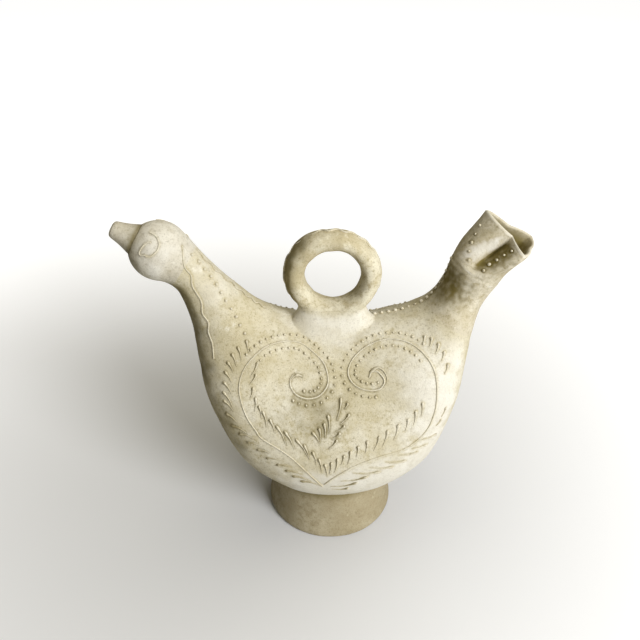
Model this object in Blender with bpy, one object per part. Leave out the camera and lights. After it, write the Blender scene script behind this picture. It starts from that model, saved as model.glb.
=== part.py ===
"""A hen-shaped clay water jug, built from the members a potter lutes together.

The hen stands along X with the beak towards -X and the tail towards +X. It is drawn
about the axis of the foot and then centred over its length. All sizes are in metres.
"""

import math

import bmesh
import bpy
from mathutils import Vector
from mathutils.bvhtree import BVHTree

# Driving sizes of the body
BODY_LENGTH = 0.204
BODY_HEIGHT = 0.1534
BODY_DEPTH = 0.122
BODY_WALL = 0.005
BELLY_LIFT = 0.031
SEAM_HEIGHT = 0.112

# Driving sizes of the foot
FOOT_DIAMETER = 0.106
FOOT_TOP_DIAMETER = 0.093
FOOT_WALL = 0.007
FOOT_EDGE = 0.003

# Driving sizes of the head, the neck and the beak. The head's centre is given by how far
# it reaches past the body's end and rises above the back, so that it goes with the body.
HEAD_REACH = 0.0197
HEAD_RISE = 0.0568
HEAD_DIAMETER = 0.0426
HEAD_WALL = 0.004
HEAD_TILT = math.radians(29)
THROAT_DIAMETER = 0.0060
NECK_DIAMETER = 0.0306
NECK_WALL = 0.004
NECK_WAIST = 0.95
BEAK_ROOT_DIAMETER = 0.0244
BEAK_TIP_DIAMETER = 0.0120
BEAK_LENGTH = 0.0160
BEAK_BORE = 0.0045

# Driving sizes of the tail and its pinched mouth, placed from the body in the same way
COLLAR_REACH = 0.0010
COLLAR_RISE = 0.0436
COLLAR_LEAN = math.radians(25)
COLLAR_DIAMETER = 0.0386
TAIL_WALL = 0.004
TAIL_WAIST = 0.88
MOUTH_REACH = 0.0240
MOUTH_RISE = 0.0706
MOUTH_LEAN = math.radians(35.5)
MOUTH_SPREAD = 0.0270
RIM_WALL = 0.003

# Driving sizes of the ring handle and the pad that beds it
HANDLE_HOLE = 0.0406
HANDLE_THICKNESS = 0.0144
HANDLE_WIDTH = 0.0210
HANDLE_LIFT = 0.0030
SADDLE_LENGTH = 0.066
SADDLE_SPAN = 0.042
SADDLE_RISE = 0.0085
SADDLE_EDGE = 0.0010

# Driving sizes of the slip ornament
SCROLL_TRAIL = 0.0015
WAVE_TRAIL = 0.0013
NECK_WAVE_LENGTH = 0.0120
NECK_WAVE_SWING = 0.0012
HANDLE_WAVE_COUNT = 13
HANDLE_WAVE_SWING = 0.0040
EYE_RADIUS = 0.0072

# Clearance between neighbouring clay members
JOIN_GAP = 0.0003

# Facet counts
HULL_SIDES = 40
ROUND_SIDES = 28
MOUTH_SIDES = 48
BEAK_SIDES = 20
RING_STEPS = 44
RING_SIDES = 14
SADDLE_SIDES = 28
SCROLL_STEPS = 2
WAVE_STEPS = 6

# Each body station holds the belly point, the crest point, the half depth and how far
# the section narrows towards the crest. Lengths are shares of half the body length from
# the middle, of the body height above the belly, and of half the body depth.
BODY_STATIONS = (
    ((-1.025, 0.990), (-0.622, 1.138), 0.41, 0.08),
    ((-0.990, 0.815), (-0.480, 1.064), 0.57, 0.18),
    ((-0.946, 0.587), (-0.323, 1.023), 0.75, 0.26),
    ((-0.730, 0.235), (-0.157, 1.005), 0.88, 0.30),
    ((-0.372, 0.046), (-0.059, 1.001), 0.97, 0.34),
    ((0.000, 0.000), (0.000, 1.000), 1.00, 0.35),
    ((0.392, 0.046), (0.069, 1.001), 0.97, 0.34),
    ((0.774, 0.228), (0.176, 1.004), 0.88, 0.30),
    ((0.961, 0.587), (0.363, 1.020), 0.75, 0.26),
    ((1.005, 0.802), (0.529, 1.048), 0.59, 0.18),
    ((1.025, 0.971), (0.681, 1.105), 0.44, 0.08),
)

# The hull runs from the head to the tail collar, and these stations part its members.
# Directions on the hull are read over a small share of a station or of a radian.
NECK_STATION = 0.0
BREAST_STATION = 2.0
MIDDLE_STATION = 7.0
RUMP_STATION = 12.0
COLLAR_STATION = 14.0
SMALL_STEP = 0.01

# The lobes and pinches of the mouth: the angle from the crest towards the rear, and the
# radius and the set-back along the axis as shares of the mouth's spread.
MOUTH_RIM = (
    (22, 0.945, -0.075),
    (85, 0.575, -0.020),
    (140, 1.055, 0.000),
    (200, 0.630, -0.110),
    (256, 0.850, -0.220),
    (300, 0.280, -0.130),
)
LOBE_SHARPNESS = 0.6

# The scrolls as drawn on the front of the body: shares of half the body length from the
# middle, and of the body height above the belly.
LEFT_SCROLL = (
    (-0.075, 0.275), (-0.140, 0.340), (-0.320, 0.465), (-0.500, 0.545), (-0.610, 0.670),
    (-0.655, 0.780), (-0.605, 0.900), (-0.445, 0.965), (-0.325, 0.965), (-0.215, 0.950),
    (-0.120, 0.910), (-0.055, 0.870), (-0.035, 0.815), (-0.060, 0.765), (-0.125, 0.740),
    (-0.200, 0.742), (-0.262, 0.762), (-0.292, 0.800), (-0.275, 0.838), (-0.212, 0.832),
)
RIGHT_SCROLL = (
    (-0.030, 0.300), (0.020, 0.345), (0.157, 0.405), (0.330, 0.450), (0.496, 0.480),
    (0.640, 0.545), (0.725, 0.655), (0.738, 0.787), (0.700, 0.895), (0.600, 0.965),
    (0.443, 0.980), (0.320, 0.960), (0.215, 0.926), (0.135, 0.885), (0.110, 0.838),
    (0.140, 0.800), (0.205, 0.780), (0.290, 0.778), (0.355, 0.798), (0.362, 0.834),
)

def clear_scene():
    """Remove whatever the scene holds before the jug is built."""
    for old in list(bpy.data.objects):
        bpy.data.objects.remove(old, do_unlink=True)


def clay(name, colour, roughness):
    """Return a matt clay material."""
    material = bpy.data.materials.new(name)
    material.use_nodes = True
    shader = material.node_tree.nodes["Principled BSDF"]
    shader.inputs["Base Color"].default_value = (*colour, 1.0)
    shader.inputs["Roughness"].default_value = roughness
    shader.inputs["Metallic"].default_value = 0.0
    return material


def add_object(name, mesh, material):
    """Link a mesh as a smooth shaded object of the jug."""
    mesh.materials.clear()
    mesh.materials.append(material)
    mesh.shade_smooth()
    mesh.set_sharp_from_angle(angle=math.radians(40))
    item = bpy.data.objects.new(name, mesh)
    bpy.context.scene.collection.objects.link(item)
    return item


def ring_mesh(name, rings, looped):
    """Skin a row of equal rings: back to the first ring, or closed by a fan at each end."""
    work = bmesh.new()
    loops = [[work.verts.new(point) for point in ring] for ring in rings]
    count = len(loops[0])
    pairs = list(zip(loops, loops[1:]))
    if looped:
        pairs.append((loops[-1], loops[0]))
    for here, there in pairs:
        for i in range(count):
            j = (i + 1) % count
            work.faces.new((here[i], here[j], there[j], there[i]))
    if not looped:
        for loop in (loops[0], loops[-1]):
            middle = sum((vert.co for vert in loop), Vector()) / count
            hub = work.verts.new(middle)
            for i in range(count):
                work.faces.new((loop[i], loop[(i + 1) % count], hub))
    bmesh.ops.recalc_face_normals(work, faces=work.faces)
    mesh = bpy.data.meshes.new(name)
    work.to_mesh(mesh)
    work.free()
    return mesh


def smooth_value(values, place):
    """Read a smooth curve through evenly spaced values at a fractional place."""
    last = len(values) - 1
    i = min(max(math.floor(place), 0), last - 1)
    t = place - i
    p1 = values[i]
    p2 = values[i + 1]
    p0 = values[i - 1] if i > 0 else p1 * 2 - p2
    p3 = values[i + 2] if i + 2 <= last else p2 * 2 - p1
    bend = p0 * 2 - p1 * 5 + p2 * 4 - p3
    twist = p1 * 3 - p0 - p2 * 3 + p3
    return (p1 * 2 + (p2 - p0) * t + bend * (t * t) + twist * (t * t * t)) * 0.5


def steps(start, end, count):
    """Return count evenly spaced values from start to end."""
    return [start + (end - start) * i / (count - 1) for i in range(count)]


def angles(count):
    """Return the angles of an evenly divided turn."""
    return [2 * math.pi * i / count for i in range(count)]


# Points of the long section, with x and z in the two components
HALF_LENGTH = BODY_LENGTH / 2
BACK_HEIGHT = BELLY_LIFT + BODY_HEIGHT
HEAD_RADIUS = HEAD_DIAMETER / 2
NECK_RADIUS = NECK_DIAMETER / 2
HEAD_CENTRE = Vector((-HALF_LENGTH - HEAD_REACH, BACK_HEIGHT + HEAD_RISE))
NECK_AXIS = Vector((math.cos(HEAD_TILT), -math.sin(HEAD_TILT)))
NECK_CUT = math.sqrt(HEAD_RADIUS**2 - NECK_RADIUS**2)
COLLAR_RADIUS = COLLAR_DIAMETER / 2
COLLAR_CENTRE = Vector((HALF_LENGTH + COLLAR_REACH, BACK_HEIGHT + COLLAR_RISE))
COLLAR_AXIS = Vector((math.sin(COLLAR_LEAN), math.cos(COLLAR_LEAN)))
MOUTH_CENTRE = Vector((HALF_LENGTH + MOUTH_REACH, BACK_HEIGHT + MOUTH_RISE))
MOUTH_AXIS = Vector((math.sin(MOUTH_LEAN), math.cos(MOUTH_LEAN)))


def across(axis):
    """Return the direction square to an axis of the long section, on its crest side."""
    return Vector((-axis.y, axis.x))


def on_body(share):
    """Turn shares of the body's half length and height into a point of the long section."""
    return Vector((share[0] * HALF_LENGTH, BELLY_LIFT + share[1] * BODY_HEIGHT))


def round_station(centre, axis, radius):
    """Return a round station: belly point, crest point, half depth and narrowing."""
    rise = across(axis) * radius
    return (centre - rise, centre + rise, radius, 0.0)


def waist_station(one, other, share):
    """Return a station between two others, drawn in to a share of their mean size."""
    belly = (one[0] + other[0]) / 2
    crest = (one[1] + other[1]) / 2
    centre = (belly + crest) / 2
    rise = (crest - belly) / 2 * share
    depth = (one[2] + other[2]) / 2 * share * share
    return (centre - rise, centre + rise, depth, 0.0)


def hull_stations():
    """List the stations of the hull from the head to the tail collar."""
    body = []
    for belly, crest, depth, narrowing in BODY_STATIONS:
        body.append((on_body(belly), on_body(crest), depth * BODY_DEPTH / 2, narrowing))
    neck_end = HEAD_CENTRE + NECK_AXIS * (NECK_CUT + JOIN_GAP)
    head = round_station(neck_end, NECK_AXIS, NECK_RADIUS)
    collar = round_station(COLLAR_CENTRE, COLLAR_AXIS, COLLAR_RADIUS)
    neck = waist_station(head, body[0], NECK_WAIST)
    tail = waist_station(body[-1], collar, TAIL_WAIST)
    return [head, neck, *body, tail, collar]


HULL = list(zip(*hull_stations()))


def hull_point(place, turn):
    """Return a point of the outer hull: place along it, turn from the crest to the front."""
    belly, crest, depth, narrowing = (smooth_value(values, place) for values in HULL)
    middle = (belly + crest) / 2 + (crest - belly) / 2 * math.cos(turn)
    side = depth * math.sin(turn) * (1 - narrowing * math.cos(turn))
    return Vector((middle.x, -side, middle.y))


def hull_along(place, turn):
    """Return the travel along the hull over a small step of stations each way."""
    return hull_point(place + SMALL_STEP, turn) - hull_point(place - SMALL_STEP, turn)


def hull_normal(place, turn):
    """Return the outward direction of the hull at a point."""
    around = hull_point(place, turn + SMALL_STEP) - hull_point(place, turn - SMALL_STEP)
    return around.cross(hull_along(place, turn)).normalized()


def hull_ring(place, inset, sides):
    """Return one ring of the hull, set in towards the middle of its section."""
    centre = (hull_point(place, 0.0) + hull_point(place, math.pi)) / 2
    ring = []
    for turn in angles(sides):
        spoke = hull_point(place, turn) - centre
        ring.append(centre + spoke * (1 - inset / spoke.length))
    return ring


def hull_gap(place):
    """Return the share of a station that opens half a joint's gap in the hull."""
    return JOIN_GAP / 2 * (2 * SMALL_STEP) / hull_along(place, math.pi / 2).length


def hull_shell(name, outer_places, inner_count, wall, sides):
    """Build a hollow length of the hull, open at both ends."""
    inner_places = steps(outer_places[-1], outer_places[0], inner_count)
    rings = [hull_ring(place, 0.0, sides) for place in outer_places]
    rings += [hull_ring(place, wall, sides) for place in inner_places]
    return ring_mesh(name, rings, looped=True)


def revolved(name, profile, centre, axis, sides):
    """Turn a closed profile of (distance, radius) pairs about an axis of the long section."""
    lift = across(axis)
    rings = []
    for distance, radius in profile:
        ring = []
        for turn in angles(sides):
            flat = centre + axis * distance + lift * (radius * math.cos(turn))
            ring.append(Vector((flat.x, radius * math.sin(turn), flat.y)))
        rings.append(ring)
    return ring_mesh(name, rings, looped=True)


def arc(radius, start, end, count):
    """Return (distance, radius) pairs of a round profile between two angles to the axis."""
    return [(radius * math.cos(a), radius * math.sin(a)) for a in steps(start, end, count)]


BODY_START = BREAST_STATION + hull_gap(BREAST_STATION)
BODY_END = RUMP_STATION - hull_gap(RUMP_STATION)
BODY_PLACES = steps(BODY_START, BODY_END, 29)


def cut(item, name, cutter):
    """Cut one object with another that stays hidden."""
    modifier = item.modifiers.new(name, "BOOLEAN")
    modifier.operation = "DIFFERENCE"
    modifier.solver = "EXACT"
    modifier.object = cutter


def add_cutter(name, mesh, material):
    """Link a mesh as a hidden cutter."""
    cutter = add_object(name, mesh, material)
    cutter.hide_render = True
    cutter.display_type = "WIRE"
    return cutter


def surface_of(mesh):
    """Return a search tree of a mesh's faces."""
    points = [vert.co for vert in mesh.vertices]
    faces = [tuple(face.vertices) for face in mesh.polygons]
    return BVHTree.FromPolygons(points, faces)


def block_mesh(name, low, high):
    """Return a block that spans the whole body between two heights."""
    work = bmesh.new()
    bmesh.ops.create_cube(work, size=1.0)
    for vert in work.verts:
        vert.co.x *= 2 * BODY_LENGTH
        vert.co.y *= 2 * BODY_LENGTH
        vert.co.z = (low + high) / 2 + vert.co.z * (high - low)
    mesh = bpy.data.meshes.new(name)
    work.to_mesh(mesh)
    work.free()
    return mesh


def build_body(material):
    """Build the hollow body as two bowls joined rim to rim, and return its surface."""
    form = hull_shell("body_form", BODY_PLACES, 17, BODY_WALL, HULL_SIDES)
    surface = surface_of(form)
    far = BODY_HEIGHT * 2
    belly = add_object("belly_bowl", form, material)
    upper = block_mesh("upper_cutter", SEAM_HEIGHT - JOIN_GAP / 2, SEAM_HEIGHT + far)
    cut(belly, "rim", add_cutter("upper_cutter", upper, material))
    back = add_object("back_dome", form.copy(), material)
    lower = block_mesh("lower_cutter", SEAM_HEIGHT - far, SEAM_HEIGHT + JOIN_GAP / 2)
    cut(back, "rim", add_cutter("lower_cutter", lower, material))
    return surface


def build_neck(material):
    """Build the hollow neck between the body and the head."""
    end = BREAST_STATION - hull_gap(BREAST_STATION)
    mesh = hull_shell("neck_tube", steps(NECK_STATION, end, 9), 5, NECK_WALL, ROUND_SIDES)
    add_object("neck_tube", mesh, material)


def build_tail(material):
    """Build the hollow tail between the body and the mouth."""
    start = RUMP_STATION + hull_gap(RUMP_STATION)
    end = COLLAR_STATION - hull_gap(COLLAR_STATION)
    mesh = hull_shell("tail_tube", steps(start, end, 7), 4, TAIL_WALL, ROUND_SIDES)
    add_object("tail_tube", mesh, material)


def rim_value(turn, column):
    """Read a column of the mouth's rim at an angle, with sharp lobes and soft pinches."""
    degree = math.degrees(turn) % 360
    if degree < MOUTH_RIM[0][0]:
        degree += 360
    closed = MOUTH_RIM + ((MOUTH_RIM[0][0] + 360, *MOUTH_RIM[0][1:]),)
    for here, there in zip(closed, closed[1:]):
        if here[0] <= degree <= there[0]:
            break
    share = (degree - here[0]) / (there[0] - here[0])
    ease = (1 - math.cos(math.pi * share)) / 2
    if here[1] > there[1]:
        ease = ease**LOBE_SHARPNESS
    else:
        ease = 1 - (1 - ease) ** LOBE_SHARPNESS
    return here[column] + (there[column] - here[column]) * ease


def mouth_ring(share, inset):
    """Return one ring of the mouth, from the round collar (0) to the pinched rim (1)."""
    start = COLLAR_CENTRE + COLLAR_AXIS * JOIN_GAP
    reach = (MOUTH_CENTRE - start).length
    bow = share**3 - 2 * share**2 + share
    pull = share**3 - share**2
    blend = 3 * share**2 - 2 * share**3
    centre = start.lerp(MOUTH_CENTRE, blend) + (COLLAR_AXIS * bow + MOUTH_AXIS * pull) * reach
    lean = COLLAR_LEAN + (MOUTH_LEAN - COLLAR_LEAN) * share
    axis = Vector((math.sin(lean), math.cos(lean)))
    ring = []
    for turn in angles(MOUTH_SIDES):
        pinched = rim_value(turn, 1) * MOUTH_SPREAD
        radius = COLLAR_RADIUS + (pinched - COLLAR_RADIUS) * share**0.85 - inset
        back = rim_value(turn, 2) * MOUTH_SPREAD * share
        flat = centre + across(axis) * (radius * math.cos(turn)) + axis * back
        ring.append(Vector((flat.x, radius * math.sin(turn), flat.y)))
    return ring


def build_mouth(material):
    """Build the flared filling mouth with its three pinched lobes."""
    rings = [mouth_ring(share, 0.0) for share in steps(0, 1, 10)]
    for share in steps(1, 0, 7):
        rings.append(mouth_ring(share, TAIL_WALL + (RIM_WALL - TAIL_WALL) * share))
    mesh = ring_mesh("pinched_mouth", rings, looped=True)
    return add_object("pinched_mouth", mesh, material)


def build_head(material):
    """Build the hollow head with its neck opening and the throat to the beak."""
    throat = THROAT_DIAMETER / 2
    inner = HEAD_RADIUS - HEAD_WALL
    neck_inner = NECK_RADIUS - NECK_WALL
    outer_end = math.pi - math.asin(NECK_RADIUS / HEAD_RADIUS)
    inner_end = math.pi - math.asin(neck_inner / inner)
    profile = arc(HEAD_RADIUS, math.asin(throat / HEAD_RADIUS), outer_end, 12)
    profile.append((-NECK_CUT, neck_inner))
    profile += arc(inner, inner_end, math.asin(throat / inner), 8)
    mesh = revolved("head_shell", profile, HEAD_CENTRE, -NECK_AXIS, ROUND_SIDES)
    add_object("head_shell", mesh, material)


def build_beak(material):
    """Build the bored beak, hollowed at its root to sit on the head."""
    seat = HEAD_RADIUS + JOIN_GAP
    root = BEAK_ROOT_DIAMETER / 2
    tip = BEAK_TIP_DIAMETER / 2
    bore = BEAK_BORE / 2
    foot = seat * math.cos(math.asin(root / seat))
    end = foot + BEAK_LENGTH
    nose = tip * 0.4
    profile = arc(seat, math.asin(bore / seat), math.asin(root / seat), 5)
    profile.append((foot + BEAK_LENGTH * 0.10, root * 0.98))
    profile.append((foot + BEAK_LENGTH * 0.50, (root + tip) / 2))
    profile.append((end - nose, tip))
    profile.append((end - nose * 0.3, tip * 0.86))
    profile.append((end, tip * 0.60))
    profile.append((end, bore))
    mesh = revolved("beak_spout", profile, HEAD_CENTRE, -NECK_AXIS, BEAK_SIDES)
    return add_object("beak_spout", mesh, material)


RING_RADIUS = (HANDLE_HOLE + HANDLE_THICKNESS) / 2
CREST_HEIGHT = hull_point(MIDDLE_STATION, 0.0).z
RING_CENTRE = Vector((0, 0, CREST_HEIGHT + HANDLE_LIFT + RING_RADIUS + HANDLE_THICKNESS / 2))


def handle_point(turn, around, grow):
    """Return a point of the ring handle, grown outwards from its surface."""
    radius = RING_RADIUS + (HANDLE_THICKNESS / 2 + grow) * math.cos(around)
    side = -(HANDLE_WIDTH / 2 + grow) * math.sin(around)
    return RING_CENTRE + Vector((radius * math.sin(turn), side, radius * math.cos(turn)))


def handle_mesh(name, grow):
    """Return the mesh of the ring handle, grown by a clearance."""
    rings = []
    for turn in angles(RING_STEPS):
        rings.append([handle_point(turn, around, grow) for around in angles(RING_SIDES)])
    return ring_mesh(name, rings, looped=True)


def build_handle(material):
    """Build the closed ring handle."""
    add_object("handle_ring", handle_mesh("handle_ring", 0.0), material)


def crest_place(x):
    """Find the station at which the crest of the hull reaches x."""
    low = BREAST_STATION
    high = RUMP_STATION
    for _ in range(30):
        middle = (low + high) / 2
        if hull_point(middle, 0.0).x < x:
            low = middle
        else:
            high = middle
    return (low + high) / 2


def pad_point(share, turn, lift):
    """Return a point of the oval pad on the back, by its share of the way to the edge."""
    place = crest_place(SADDLE_LENGTH / 2 * share * math.cos(turn))
    crest_radius = abs(hull_point(place, SMALL_STEP).y) / SMALL_STEP
    lean = SADDLE_SPAN / 2 * share * math.sin(turn) / crest_radius
    return hull_point(place, lean) + hull_normal(place, lean) * lift


def pad_ring(share, lift):
    """Return one oval ring of the pad on the back."""
    return [pad_point(share, turn, lift) for turn in angles(SADDLE_SIDES)]


def build_hull_cutter(material):
    """Build the solid shape of the body grown by the joint's gap."""
    rings = [hull_ring(place, -JOIN_GAP, HULL_SIDES) for place in BODY_PLACES]
    return add_cutter("hull_cutter", ring_mesh("hull_cutter", rings, looped=False), material)


def build_foot(material, hull_cutter):
    """Build the hollow pedestal, its top cut to fit under the belly."""
    base = FOOT_DIAMETER / 2
    top = FOOT_TOP_DIAMETER / 2
    head_room = BELLY_LIFT + BODY_HEIGHT * 0.2
    axis = Vector((0, 1))

    def flank(inset, share):
        narrow = 1 - (1 - share) ** 3
        height = FOOT_EDGE + (head_room - FOOT_EDGE) * share
        return (height, base + (top - base) * narrow - inset)

    profile = [(0.0, base - FOOT_WALL), (0.0, base - FOOT_EDGE / 3)]
    profile += [flank(0.0, share) for share in steps(0, 1, 7)]
    profile += [flank(FOOT_WALL, share) for share in steps(1, 0.1, 5)]
    mesh = revolved("pedestal_foot", profile, Vector((0, 0)), axis, HULL_SIDES)
    cut(add_object("pedestal_foot", mesh, material), "belly_fit", hull_cutter)


def build_saddle(material, hull_cutter):
    """Build the pad of clay on the back, fitted to the hull and grooved for the ring."""
    rings = []
    for share in (0.25, 0.5, 0.75, 0.92, 1.0):
        rise = SADDLE_EDGE + (SADDLE_RISE - SADDLE_EDGE) * (1 - share**2) ** 0.8
        rings.append(pad_ring(share, JOIN_GAP + rise))
    rings.append(pad_ring(1.0, -BODY_WALL))
    saddle = add_object("handle_saddle", ring_mesh("handle_saddle", rings, looped=False), material)

    cut(saddle, "hull_fit", hull_cutter)
    bed_mesh = handle_mesh("ring_bed_cutter", JOIN_GAP)
    cut(saddle, "ring_bed", add_cutter("ring_bed_cutter", bed_mesh, material))


def add_trail(name, points, width, material):
    """Lay a round trail of slip along points that already clear what it lies on."""
    curve = bpy.data.curves.new(name, "CURVE")
    curve.dimensions = "3D"
    curve.bevel_depth = width / 2
    curve.bevel_resolution = 1
    curve.use_fill_caps = True
    spline = curve.splines.new("POLY")
    spline.points.add(len(points) - 1)
    for target, point in zip(spline.points, points):
        target.co = (*point, 1.0)
    curve.materials.append(material)
    bpy.context.scene.collection.objects.link(bpy.data.objects.new(name, curve))


def mirrored(points):
    """Return points carried over to the rear of the hen."""
    return [Vector((point.x, -point.y, point.z)) for point in points]


def scroll_points(shares, body_surface):
    """Cast a scroll drawn on the front elevation on to the body."""
    drawn = [on_body(share) for share in shares]
    lift = SCROLL_TRAIL / 2 + JOIN_GAP
    points = []
    for place in steps(0, len(drawn) - 1, (len(drawn) - 1) * SCROLL_STEPS + 1):
        spot = smooth_value(drawn, place)
        start = Vector((spot.x, -BODY_LENGTH, spot.y))
        hit, normal, _, _ = body_surface.ray_cast(start, Vector((0, 1, 0)))
        points.append(hit + normal * lift)
    return points


def build_scrolls(material, body_surface):
    """Lay the two large scrolls on the front, and the same on the rear."""
    for side, shares in (("left", LEFT_SCROLL), ("right", RIGHT_SCROLL)):
        points = scroll_points(shares, body_surface)
        add_trail("front_" + side + "_scroll", points, SCROLL_TRAIL, material)
        add_trail("rear_" + side + "_scroll", mirrored(points), SCROLL_TRAIL, material)


def wavy_hull_trail(start, end, start_turn, end_turn):
    """Return a wavy path along the hull between two places and two turns."""
    lift = WAVE_TRAIL / 2 + JOIN_GAP
    length = (hull_point(end, end_turn) - hull_point(start, start_turn)).length
    waves = max(2, round(length / NECK_WAVE_LENGTH))
    points = []
    for share in steps(0, 1, waves * WAVE_STEPS + 1):
        place = start + (end - start) * share
        turn = start_turn + (end_turn - start_turn) * share
        normal = hull_normal(place, turn)
        sideways = normal.cross(hull_along(place, turn)).normalized()
        swing = NECK_WAVE_SWING * math.sin(2 * math.pi * waves * share)
        points.append(hull_point(place, turn) + normal * lift + sideways * swing)
    return points


def build_neck_trails(material):
    """Lay the wavy trails down the front, the rear and the crest of the neck."""
    front = wavy_hull_trail(0.15, 2.9, math.radians(63), math.radians(110))
    add_trail("front_neck_trail", front, WAVE_TRAIL, material)
    add_trail("rear_neck_trail", mirrored(front), WAVE_TRAIL, material)
    crest = wavy_hull_trail(0.15, 2.6, 0.0, 0.0)
    add_trail("crest_neck_trail", crest, WAVE_TRAIL, material)


def build_handle_trail(material):
    """Lay the wavy trail over the crown of the ring, clear of the saddle."""
    lift = WAVE_TRAIL / 2 + JOIN_GAP
    points = []
    for share in steps(0, 1, HANDLE_WAVE_COUNT * WAVE_STEPS + 1):
        turn = math.radians(-118) + math.radians(236) * share
        swing = math.sin(2 * math.pi * HANDLE_WAVE_COUNT * share)
        around = HANDLE_WAVE_SWING / (HANDLE_WIDTH / 2) * swing
        points.append(handle_point(turn, around, lift))
    add_trail("handle_crown_trail", points, WAVE_TRAIL, material)


def eye_arc(start, end):
    """Return an arc of the eye on the front of the head, by angles from straight up."""
    lift = HEAD_RADIUS + JOIN_GAP + WAVE_TRAIL / 2
    centre_x = -0.30 * HEAD_RADIUS
    centre_z = 0.20 * HEAD_RADIUS
    points = []
    for turn in steps(math.radians(start), math.radians(end), 13):
        x = centre_x + EYE_RADIUS * math.sin(turn)
        z = centre_z + EYE_RADIUS * math.cos(turn)
        away = Vector((x, -math.sqrt(HEAD_RADIUS**2 - x**2 - z**2), z)).normalized()
        points.append(Vector((HEAD_CENTRE.x, 0, HEAD_CENTRE.y)) + away * lift)
    return points


def build_eyes(material):
    """Lay the two arcs of slip that draw each eye."""
    for part, start, end in (("brow", -10, 150), ("lid", 200, 310)):
        points = eye_arc(start, end)
        add_trail("front_eye_" + part, points, WAVE_TRAIL, material)
        add_trail("rear_eye_" + part, mirrored(points), WAVE_TRAIL, material)


def centre_jug(beak, mouth):
    """Hang the jug from an anchor so that its length is centred on the origin."""
    front = min(vert.co.x for vert in beak.data.vertices)
    back = max(vert.co.x for vert in mouth.data.vertices)
    anchor = bpy.data.objects.new("jug_anchor", None)
    anchor.location.x = -(front + back) / 2
    for item in list(bpy.context.scene.collection.objects):
        item.parent = anchor
    bpy.context.scene.collection.objects.link(anchor)


def main():
    clear_scene()
    body_clay = clay("body_clay", (0.62, 0.56, 0.43), 0.88)
    body_surface = build_body(body_clay)
    hull_cutter = build_hull_cutter(body_clay)
    build_foot(clay("foot_clay", (0.52, 0.47, 0.37), 0.90), hull_cutter)
    build_neck(clay("neck_clay", (0.62, 0.56, 0.43), 0.88))
    build_head(clay("head_clay", (0.60, 0.54, 0.42), 0.88))
    beak = build_beak(clay("beak_clay", (0.55, 0.50, 0.39), 0.88))
    build_tail(clay("tail_clay", (0.60, 0.54, 0.40), 0.88))
    mouth = build_mouth(clay("mouth_clay", (0.60, 0.54, 0.40), 0.88))
    build_handle(clay("handle_clay", (0.58, 0.52, 0.38), 0.88))
    build_saddle(clay("saddle_clay", (0.66, 0.60, 0.48), 0.90), hull_cutter)
    slip = clay("trailed_slip", (0.68, 0.62, 0.49), 0.86)
    build_scrolls(slip, body_surface)
    build_neck_trails(slip)
    build_handle_trail(slip)
    build_eyes(slip)
    centre_jug(beak, mouth)


main()
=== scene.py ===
# %% [markdown]
# # A hen-shaped clay jug
# The jug is a hollow hen: water goes in through the pinched tail and comes out of the
# beak, and a ring on the back carries it. The clay is unglazed, and its ornament is slip,
# which is clay thinned with water and squeezed on in lines and dots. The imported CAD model
# is loaded first and stays as it is, and every piece made here stands where its solid is.

import math

import bmesh
import bpy
import numpy as np
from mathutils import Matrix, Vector, noise
from mathutils.bvhtree import BVHTree
from mathutils.kdtree import KDTree


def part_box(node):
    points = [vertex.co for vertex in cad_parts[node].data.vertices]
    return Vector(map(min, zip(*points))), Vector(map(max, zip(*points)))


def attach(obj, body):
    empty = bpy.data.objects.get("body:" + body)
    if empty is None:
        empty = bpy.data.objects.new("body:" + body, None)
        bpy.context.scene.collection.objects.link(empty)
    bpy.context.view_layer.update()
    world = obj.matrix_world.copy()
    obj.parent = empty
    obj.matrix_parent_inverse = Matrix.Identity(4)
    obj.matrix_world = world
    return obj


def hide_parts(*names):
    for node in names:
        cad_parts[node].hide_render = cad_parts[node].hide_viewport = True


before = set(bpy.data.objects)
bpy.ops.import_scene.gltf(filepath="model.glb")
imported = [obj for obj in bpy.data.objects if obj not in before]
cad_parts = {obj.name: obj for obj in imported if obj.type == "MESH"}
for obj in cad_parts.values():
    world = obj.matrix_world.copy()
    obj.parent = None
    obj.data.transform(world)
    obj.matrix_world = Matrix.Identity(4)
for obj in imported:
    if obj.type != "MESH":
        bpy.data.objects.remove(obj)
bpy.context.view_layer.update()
foot_low, foot_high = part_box("pedestal_foot")
FOOT_X = (foot_low[0] + foot_high[0]) / 2
print("CAD nodes:", len(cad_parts), "foot axis at x =", round(FOOT_X, 4))

# %% [markdown]
# ## The form of the hen
# The head, neck, body, tail and mouth are separate lumps of clay on the real jug, but the
# potter smeared the joints away, so the outside reads as one skin. That skin is easiest to
# describe as a row of rings. Each station of the body gives a belly point, a crest point
# and a depth, and a smooth curve runs through the stations. Sculpting could give the form
# too, but the numbers here are those of the CAD source, so the skin lies on the solids.

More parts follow.
